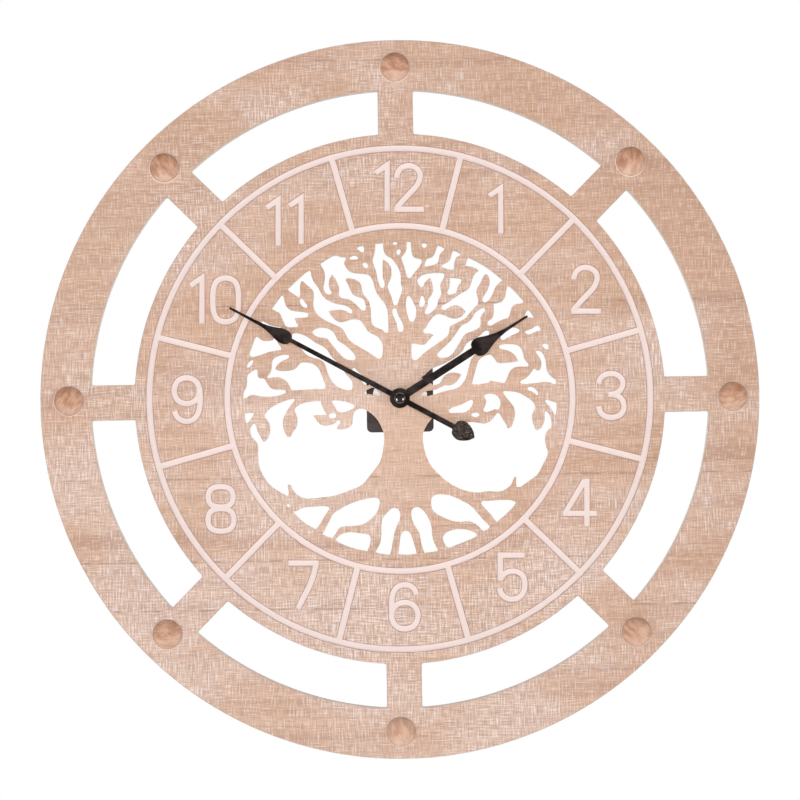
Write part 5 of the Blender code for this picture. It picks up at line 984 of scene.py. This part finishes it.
def circuit():
    """Green lacquer over faint tracks."""
    material, tree, surface = shader("circuit_green", 0.0, 0.35, 0.5)
    place = add(tree, "ShaderNodeTexCoord").outputs["Object"]
    tracks = add(tree, "ShaderNodeTexBrick", {"Vector": place, "Scale": 240.0, "Mortar Size": 0.03})
    weave = noise(tree, place, (1500.0, 1500.0, 1500.0), 2.0)
    colour = mixed(tree, tracks.outputs[1], (0.015, 0.10, 0.04, 1.0), (0.05, 0.20, 0.07, 1.0))
    colour = mixed(tree, between(tree, weave, 0.4, 0.7, 0.0, 0.3), colour, (0.03, 0.16, 0.06, 1.0))
    tree.links.new(colour, surface.inputs["Base Color"])
    bumped(tree, surface, tracks.outputs[1], 0.00003, 0.5)
    return material


def winding():
    """Enamelled copper wire wound side by side along X."""
    material, tree, surface = shader("copper_wire", 1.0, 0.3, 0.5)
    place = add(tree, "ShaderNodeTexCoord").outputs["Object"]
    turns = add(tree, "ShaderNodeTexWave", {"Vector": place, "Scale": 1100.0, "Distortion": 0.2},
                wave_type="BANDS", bands_direction="X")
    stain = noise(tree, place, (400.0, 400.0, 400.0), 2.0)
    colour = mixed(tree, between(tree, stain, 0.35, 0.7), (0.48, 0.16, 0.07, 1.0), (0.70, 0.28, 0.12, 1.0))
    tree.links.new(colour, surface.inputs["Base Color"])
    bumped(tree, surface, turns.outputs[1], 0.00006, 0.7)
    return material


GRAIN = stretched_grain()
WORN_SKIN = worn_skin()
ENAMEL_FILM = enamel_film()
WOOD = whitewashed_wood()
BUTTON_WOOD = button_wood()
ENAMEL = black_enamel("black_enamel", 0.30, 0.40, 1.5, 0.9, (0.040, 0.028, 0.024, 1.0))
GLOSS = black_enamel("gloss_enamel", 0.03, 1.0, 3.0, 0.0, (0.013, 0.009, 0.008, 1.0))
FINISHES = {
    "dark_plastic": moulded("dark_plastic", (0.050, 0.040, 0.042), (0.075, 0.058, 0.060), 0.42, 0.60),
    "black_plastic": moulded("black_plastic", (0.012, 0.012, 0.013), (0.024, 0.024, 0.026), 0.40, 0.58),
    "pale_fibre": fibre(),
    "black_rubber": moulded("black_rubber", (0.014, 0.014, 0.014), (0.030, 0.029, 0.028), 0.75, 0.92, 500.0),
    "brass": metal("brass", (0.66, 0.42, 0.13), (0.78, 0.54, 0.20), 0.22, 0.38),
    "steel": metal("steel", (0.48, 0.48, 0.49), (0.62, 0.62, 0.63), 0.26, 0.42),
    "white_nylon": moulded("white_nylon", (0.72, 0.71, 0.65), (0.82, 0.81, 0.77), 0.38, 0.52),
    "rotor_grey": moulded("rotor_grey", (0.08, 0.08, 0.09), (0.13, 0.13, 0.14), 0.32, 0.48),
    "copper_wire": winding(),
    "circuit_green": circuit(),
    "cell_jacket": jacket(),
}
NODE_FINISHES = {
    "mounting_pad": "pale_fibre", "rubber_washer": "black_rubber", "movement_case": "dark_plastic",
    "movement_cover": "black_plastic", "setting_knob": "black_plastic", "hanger": "steel",
    "brass_washer": "brass", "fixing_nut": "brass", "stator": "steel", "coil_bobbin": "copper_wire",
    "circuit_board": "circuit_green", "battery": "cell_jacket", "battery_flat_contact": "steel",
    "battery_spring_contact": "steel", "centre_arbor": "steel", "hour_wheel": "white_nylon",
    "minute_wheel": "white_nylon", "third_wheel": "white_nylon", "middle_wheel": "white_nylon",
    "rotor": "rotor_grey",
}
for node, finish in NODE_FINISHES.items():
    for place in NODES[node].material_slots:
        place.material = FINISHES[finish]


def board_blank():
    """The round board with its stepped and rounded rim, its flat faces in one piece each."""
    face, back, radius = BOARD_FACE, BOARD_BACK, BOARD_RADIUS
    rim = [(0.0, face), (radius - EDGE_STEP_WIDTH, face), (radius - EDGE_STEP_WIDTH, face - EDGE_STEP_DEPTH),
           (radius - RIM_ROUND, face - EDGE_STEP_DEPTH), (radius, face - RIM_ROUND - EDGE_STEP_DEPTH),
           (radius, back + RIM_ROUND), (radius - RIM_ROUND, back), (0.0, back)]
    blank = lathed("fretwork_dial", rim, BOARD_STEPS)
    work = bmesh.new()
    work.from_mesh(blank.data)
    bmesh.ops.dissolve_limit(work, angle_limit=FLAT_ANGLE, verts=work.verts, edges=work.edges)
    work.to_mesh(blank.data)
    work.free()
    return blank


def groove_profile(radius, half):
    """The cross section of a ring groove with round lower corners and a shallow step each side."""
    face = BOARD_FACE
    wide = half + GROOVE_STEP_WIDTH
    section = [(radius + wide, face + OVERRUN), (radius + wide, face - EDGE_STEP_DEPTH)]
    for i in range(GROOVE_SECTION_STEPS + 1):
        angle = math.pi * i / GROOVE_SECTION_STEPS
        across = math.copysign(abs(math.cos(angle)) ** 0.5, math.cos(angle))
        down = EDGE_STEP_DEPTH + (GROOVE_DEPTH - EDGE_STEP_DEPTH) * math.sin(angle) ** 0.8
        section.append((radius + half * across, face - down))
    section += [(radius - wide, face - EDGE_STEP_DEPTH), (radius - wide, face + OVERRUN)]
    return section


def divider_loops(half):
    """The lines between the hours, from ring to ring."""
    loops = []
    for hour in range(HOURS):
        angle = 2 * math.pi * (hour + 0.5) / HOURS
        along = Vector((math.cos(angle), math.sin(angle)))
        across = Vector((-along.y, along.x)) * half
        start, end = along * INNER_GROOVE_RADIUS, along * OUTER_GROOVE_RADIUS
        loops.append([start - across, end - across, end + across, start + across])
    return loops


def numeral_layers(half):
    """The strokes of every numeral, sorted so that no two strokes of one layer meet."""
    layers = {}
    for figure, x, y in NUMERALS:
        open_strokes, closed_strokes = FIGURES[figure]
        centre = Vector((x, y)) * PICK
        strokes = [(picks, False) for picks in open_strokes] + [(picks, True) for picks in closed_strokes]
        for number, (picks, closed) in enumerate(strokes):
            loops = stroke_loops(picks, closed, half, centre)
            layers.setdefault(number, []).extend(loops)
    return layers.values()


def engraving_cutters():
    """Cutters for the rings, the dividers, the numerals, and the shallow steps round them."""
    face, top, half = BOARD_FACE, BOARD_FACE + OVERRUN, GROOVE_WIDTH / 2
    cutters = [lathed("outer_ring", groove_profile(OUTER_GROOVE_RADIUS, half), GROOVE_STEPS, True),
               lathed("inner_ring", groove_profile(INNER_GROOVE_RADIUS, half), GROOVE_STEPS, True),
               drawn("divider_steps", divider_loops(half + GROOVE_STEP_WIDTH), face - EDGE_STEP_DEPTH, top)]
    # No two floors lie in one plane
    for number, loops in enumerate(numeral_layers(STROKE_HALF_WIDTH + GROOVE_STEP_WIDTH)):
        floor = face - EDGE_STEP_DEPTH * (1 + LAYER_SHARE * (number + 1))
        cutters.append(drawn("stroke_steps", loops, floor, top))
    cutters.append(drawn("dividers", divider_loops(half), face - GROOVE_DEPTH, top, STROKE_ROUND, 3))
    for number, loops in enumerate(numeral_layers(STROKE_HALF_WIDTH)):
        floor = face - GROOVE_DEPTH * (1 - LAYER_SHARE * (number + 1))
        cutters.append(drawn("strokes", loops, floor, top, STROKE_ROUND, 3))
    window_steps = [window_loop(i, EDGE_STEP_WIDTH) for i in range(SPOKES)]
    cutters.append(drawn("window_steps", window_steps, face - EDGE_STEP_DEPTH, top))
    return cutters


def fretwork_cutter():
    """One cutter for the windows, the openings of the tree and the arbor hole, right through."""
    openings = [window_loop(i) for i in range(SPOKES)]
    openings += [smooth_path(picks, TREE_RADIUS * SHARE, PICK_LEAN) for picks in BRANCH_SHARES]
    openings.append(arc(ARBOR_HOLE_RADIUS, 0.0, 2 * math.pi / HUB_STEPS, HUB_STEPS))
    return drawn("fretwork", openings, BOARD_BACK - OVERRUN, BOARD_FACE + OVERRUN)


board = board_blank()
cut(board, engraving_cutters())
cut(board, [fretwork_cutter()])
finished(board, "clock", WOOD, "dial_board")


def turned_button(number):
    """A half-round button on a thin step for a painted contact shadow and a ring for a painted pale halo,
    with its grain and lie in two UV maps.
    """
    node = f"button_{number + 1}"
    low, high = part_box(node)
    across, up = BUTTON_SETTLE[number]
    spot = ((low.x + high.x) / 2 + across * MM, (low.z + high.z) / 2 + DIAL_DROP + up * MM)
    foot, crown = BUTTON_FOOT, -low.y
    base = foot + BUTTON_EDGE
    radius = (high.x - low.x) / 2 - BUTTON_SHRINK
    painted_shade_line = radius + BUTTON_SHADE_LINE_WIDTH
    lime_and_painted_halo = painted_shade_line + BUTTON_HALO_WIDTH
    profile = dome_profile(radius, base, crown, BUTTON_DOME_STEPS)
    profile += [(radius, foot + BUTTON_SHADE_LINE), (painted_shade_line, foot + BUTTON_SHADE_LINE), (painted_shade_line, foot + BUTTON_HALO),
                (lime_and_painted_halo, foot + BUTTON_HALO), (lime_and_painted_halo, foot), (0.0, foot)]
    button = lathed(f"turned_button_{number + 1}", profile, BUTTON_STEPS, False, spot)
    grain = button.data.uv_layers.new(name="grain")
    lie = button.data.uv_layers.new(name="lie")
    turn = Matrix.Rotation(math.radians(BUTTON_GRAINS[number]), 2)
    for corner in button.data.loops:
        x, y, z = button.data.vertices[corner.vertex_index].co
        u, v = turn @ Vector((x - spot[0], y - spot[1] + (z - foot) / 2))
        grain.data[corner.index].uv = (u * GRAIN_SCALE + number, v * GRAIN_SCALE + number)
        lie.data[corner.index].uv = ((x - spot[0]) / radius, (y - spot[1]) / radius)
    finished(button, "clock", BUTTON_WOOD, node)


for number in range(SPOKES):
    turned_button(number)


def hand_outline(shares, length, half_width, direction=1):
    """One edge of a hand from the hub to its tip, and back along the other edge."""
    side = smooth_path([(direction * length * pick[0], half_width * pick[1], *pick[2:]) for pick in shares],
                       closed=False)
    return side, [Vector((point.x, -point.y)) for point in reversed(side)]


def hub_points(start, end, steps):
    """Points round the hub between two angles, both ends left out."""
    step = (end - start) / (steps + 1)
    return arc(HUB_RADIUS, start + step, step, steps)


def hand(name, body, node, angle, blade, tail=None):
    """A sheet metal hand with its hub, turned to its angle."""
    out, home = hand_outline(*blade)
    neck = math.atan2(out[0].y, out[0].x)
    out[0] = Vector((HUB_RADIUS * math.cos(neck), out[0].y))
    home[-1] = Vector((out[0].x, -out[0].y))
    if tail is None:
        outline = out + home + hub_points(-neck, neck - 2 * math.pi, HUB_STEPS)
    else:
        rear_out, rear_home = hand_outline(*tail, direction=-1)
        rear_neck = math.pi - math.atan2(rear_out[0].y, -rear_out[0].x)
        outline = out + home + hub_points(-neck, -rear_neck, HUB_STEPS // 2)
        outline += rear_home[::-1] + rear_out[::-1]
        outline += hub_points(rear_neck, neck, HUB_STEPS // 2)
    turn = Matrix.Rotation(angle + math.pi / 2, 2)
    low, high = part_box(node)
    bore = arc(HAND_BORES[node], 0.0, 2 * math.pi / HUB_STEPS, HUB_STEPS)
    blank = drawn(name, [[turn @ point for point in outline], bore], -high.y, -low.y, HAND_EDGE)
    finished(blank, body, ENAMEL, node)


hand("spade_hour_hand", "hour", "hour_hand", HOUR_ANGLE, (HOUR_HAND_SHARES, HOUR_LENGTH, HOUR_HALF_WIDTH))
hand("spade_minute_hand", "minute", "minute_hand", MINUTE_ANGLE,
     (MINUTE_HAND_SHARES, MINUTE_LENGTH, MINUTE_HALF_WIDTH), (TAIL_SHARES, TAIL_LENGTH, TAIL_HALF_WIDTH))


def cap_nut():
    """The glossy domed nut on the hands, bored from behind."""
    low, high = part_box("hand_cap_nut")
    radius = (high.x - low.x) / 2
    foot, crown = -high.y, -low.y
    skirt = foot + (crown - foot) * CAP_SKIRT_SHARE
    profile = dome_profile(radius, skirt, crown, CAP_DOME_STEPS)
    profile += [(radius, foot + CAP_ROUND), (radius - CAP_ROUND, foot), (CAP_BORE_RADIUS, foot),
                (CAP_BORE_RADIUS, foot + CAP_BORE_DEPTH), (0.0, foot + CAP_BORE_DEPTH)]
    finished(lathed("gloss_cap_nut", profile, CAP_STEPS), "minute", GLOSS, "hand_cap_nut")


cap_nut()


def floor_paint():
    """Pale paint that the camera sees lit evenly."""
    material, tree, surface = shader("floor_paint", 0.0, 0.8, 0.2)
    place = add(tree, "ShaderNodeTexCoord").outputs["Object"]
    tone = noise(tree, place, (3.0, 3.0, 3.0), 2.0)
    pale = mixed(tree, tone, (0.80, 0.79, 0.78, 1.0), (0.84, 0.83, 0.82, 1.0))
    tree.links.new(pale, surface.inputs["Base Color"])
    tree.links.new(pale, surface.inputs["Emission Color"])
    camera_rays = add(tree, "ShaderNodeLightPath").outputs["Is Camera Ray"]
    tree.links.new(maths(tree, "MULTIPLY", camera_rays, 0.95), surface.inputs["Emission Strength"])
    return material


def studio_world():
    """A room that lights from below, is white to the camera and dark in what gloss shows of the front."""
    world = bpy.data.worlds.new("studio")
    world.use_nodes = True
    tree = world.node_tree
    tree.nodes.clear()
    rays = add(tree, "ShaderNodeLightPath").outputs
    sphere = add(tree, "ShaderNodeTexCoord").outputs["Generated"]
    way = add(tree, "ShaderNodeSeparateXYZ", {0: sphere}).outputs
    white, bright, dim, dark = ((level, level, level, 1.0) for level in (1.0, 0.95, 0.06, 0.02))
    room = mixed(tree, between(tree, way["Z"], -0.3, 0.7), bright, dim)
    ahead = between(tree, way["Y"], 0.5, 0.1, 0.0, 0.95)
    room = mixed(tree, maths(tree, "MULTIPLY", rays["Is Glossy Ray"], ahead), room, dark)
    seen = maths(tree, "MAXIMUM", rays["Is Camera Ray"], rays["Is Transmission Ray"])
    sky = add(tree, "ShaderNodeBackground", {"Color": mixed(tree, seen, room, white), "Strength": 1.0})
    tree.links.new(sky.outputs[0], add(tree, "ShaderNodeOutputWorld").inputs[0])
    return world


# Floor, light and camera
floor_work = bmesh.new()
bmesh.ops.create_grid(floor_work, x_segments=8, y_segments=8, size=FLOOR_HALF)
floor_mesh = bpy.data.meshes.new("studio_floor")
floor_work.to_mesh(floor_mesh)
floor_work.free()
floor = named("studio_floor", floor_mesh)
floor.location = FLOOR_SPOT
floor.data.materials.append(floor_paint())
floor.visible_glossy = False
bpy.context.scene.world = studio_world()


def softbox(name, spot, aim, width, height, power):
    """A soft lamp that looks at a spot."""
    lamp = bpy.data.lights.new(name, "AREA")
    lamp.shape = "RECTANGLE"
    lamp.size = width
    lamp.size_y = height
    lamp.energy = power
    obj = bpy.data.objects.new(name, lamp)
    bpy.context.scene.collection.objects.link(obj)
    obj.location = spot
    obj.rotation_euler = (Vector(aim) - Vector(spot)).to_track_quat("-Z", "Y").to_euler()
    return obj


centre = (0.0, -BOARD_FACE, -DIAL_DROP)
softbox("softbox_left", (-2.1, -2.1, -1.05), centre, 0.8, 1.5, 12.0)
softbox("softbox_right", (2.2, -2.1, -0.85), centre, 0.8, 1.5, 10.6)
front = softbox("front_fill", (0.0, -2.2, -0.08), centre, 0.5, 0.5, 27.8)
front.visible_glossy = False
for name, side, power in (("back_fill_right", 0.8, 14.0), ("back_fill_left", -0.8, 16.0)):
    rear = softbox(name, (side, 1.9, 0.9), centre, 0.9, 0.9, power)
    rear.visible_camera = False

direction = Vector((0.0, -math.cos(CAMERA_ELEVATION), math.sin(CAMERA_ELEVATION)))
lens = bpy.data.cameras.new("camera")
lens.sensor_width = 36.0
lens.lens = CAMERA_LENS
lens.shift_x, lens.shift_y = CAMERA_SHIFT
camera = bpy.data.objects.new("camera", lens)
bpy.context.scene.collection.objects.link(camera)
camera.location = Vector(centre) + direction * CAMERA_DISTANCE
camera.rotation_euler = ((-direction).to_track_quat("-Z", "Y")
                         @ Matrix.Rotation(CAMERA_ROLL, 3, "Z").to_quaternion()).to_euler()
bpy.context.scene.camera = camera
bpy.context.scene.view_settings.view_transform = "Standard"
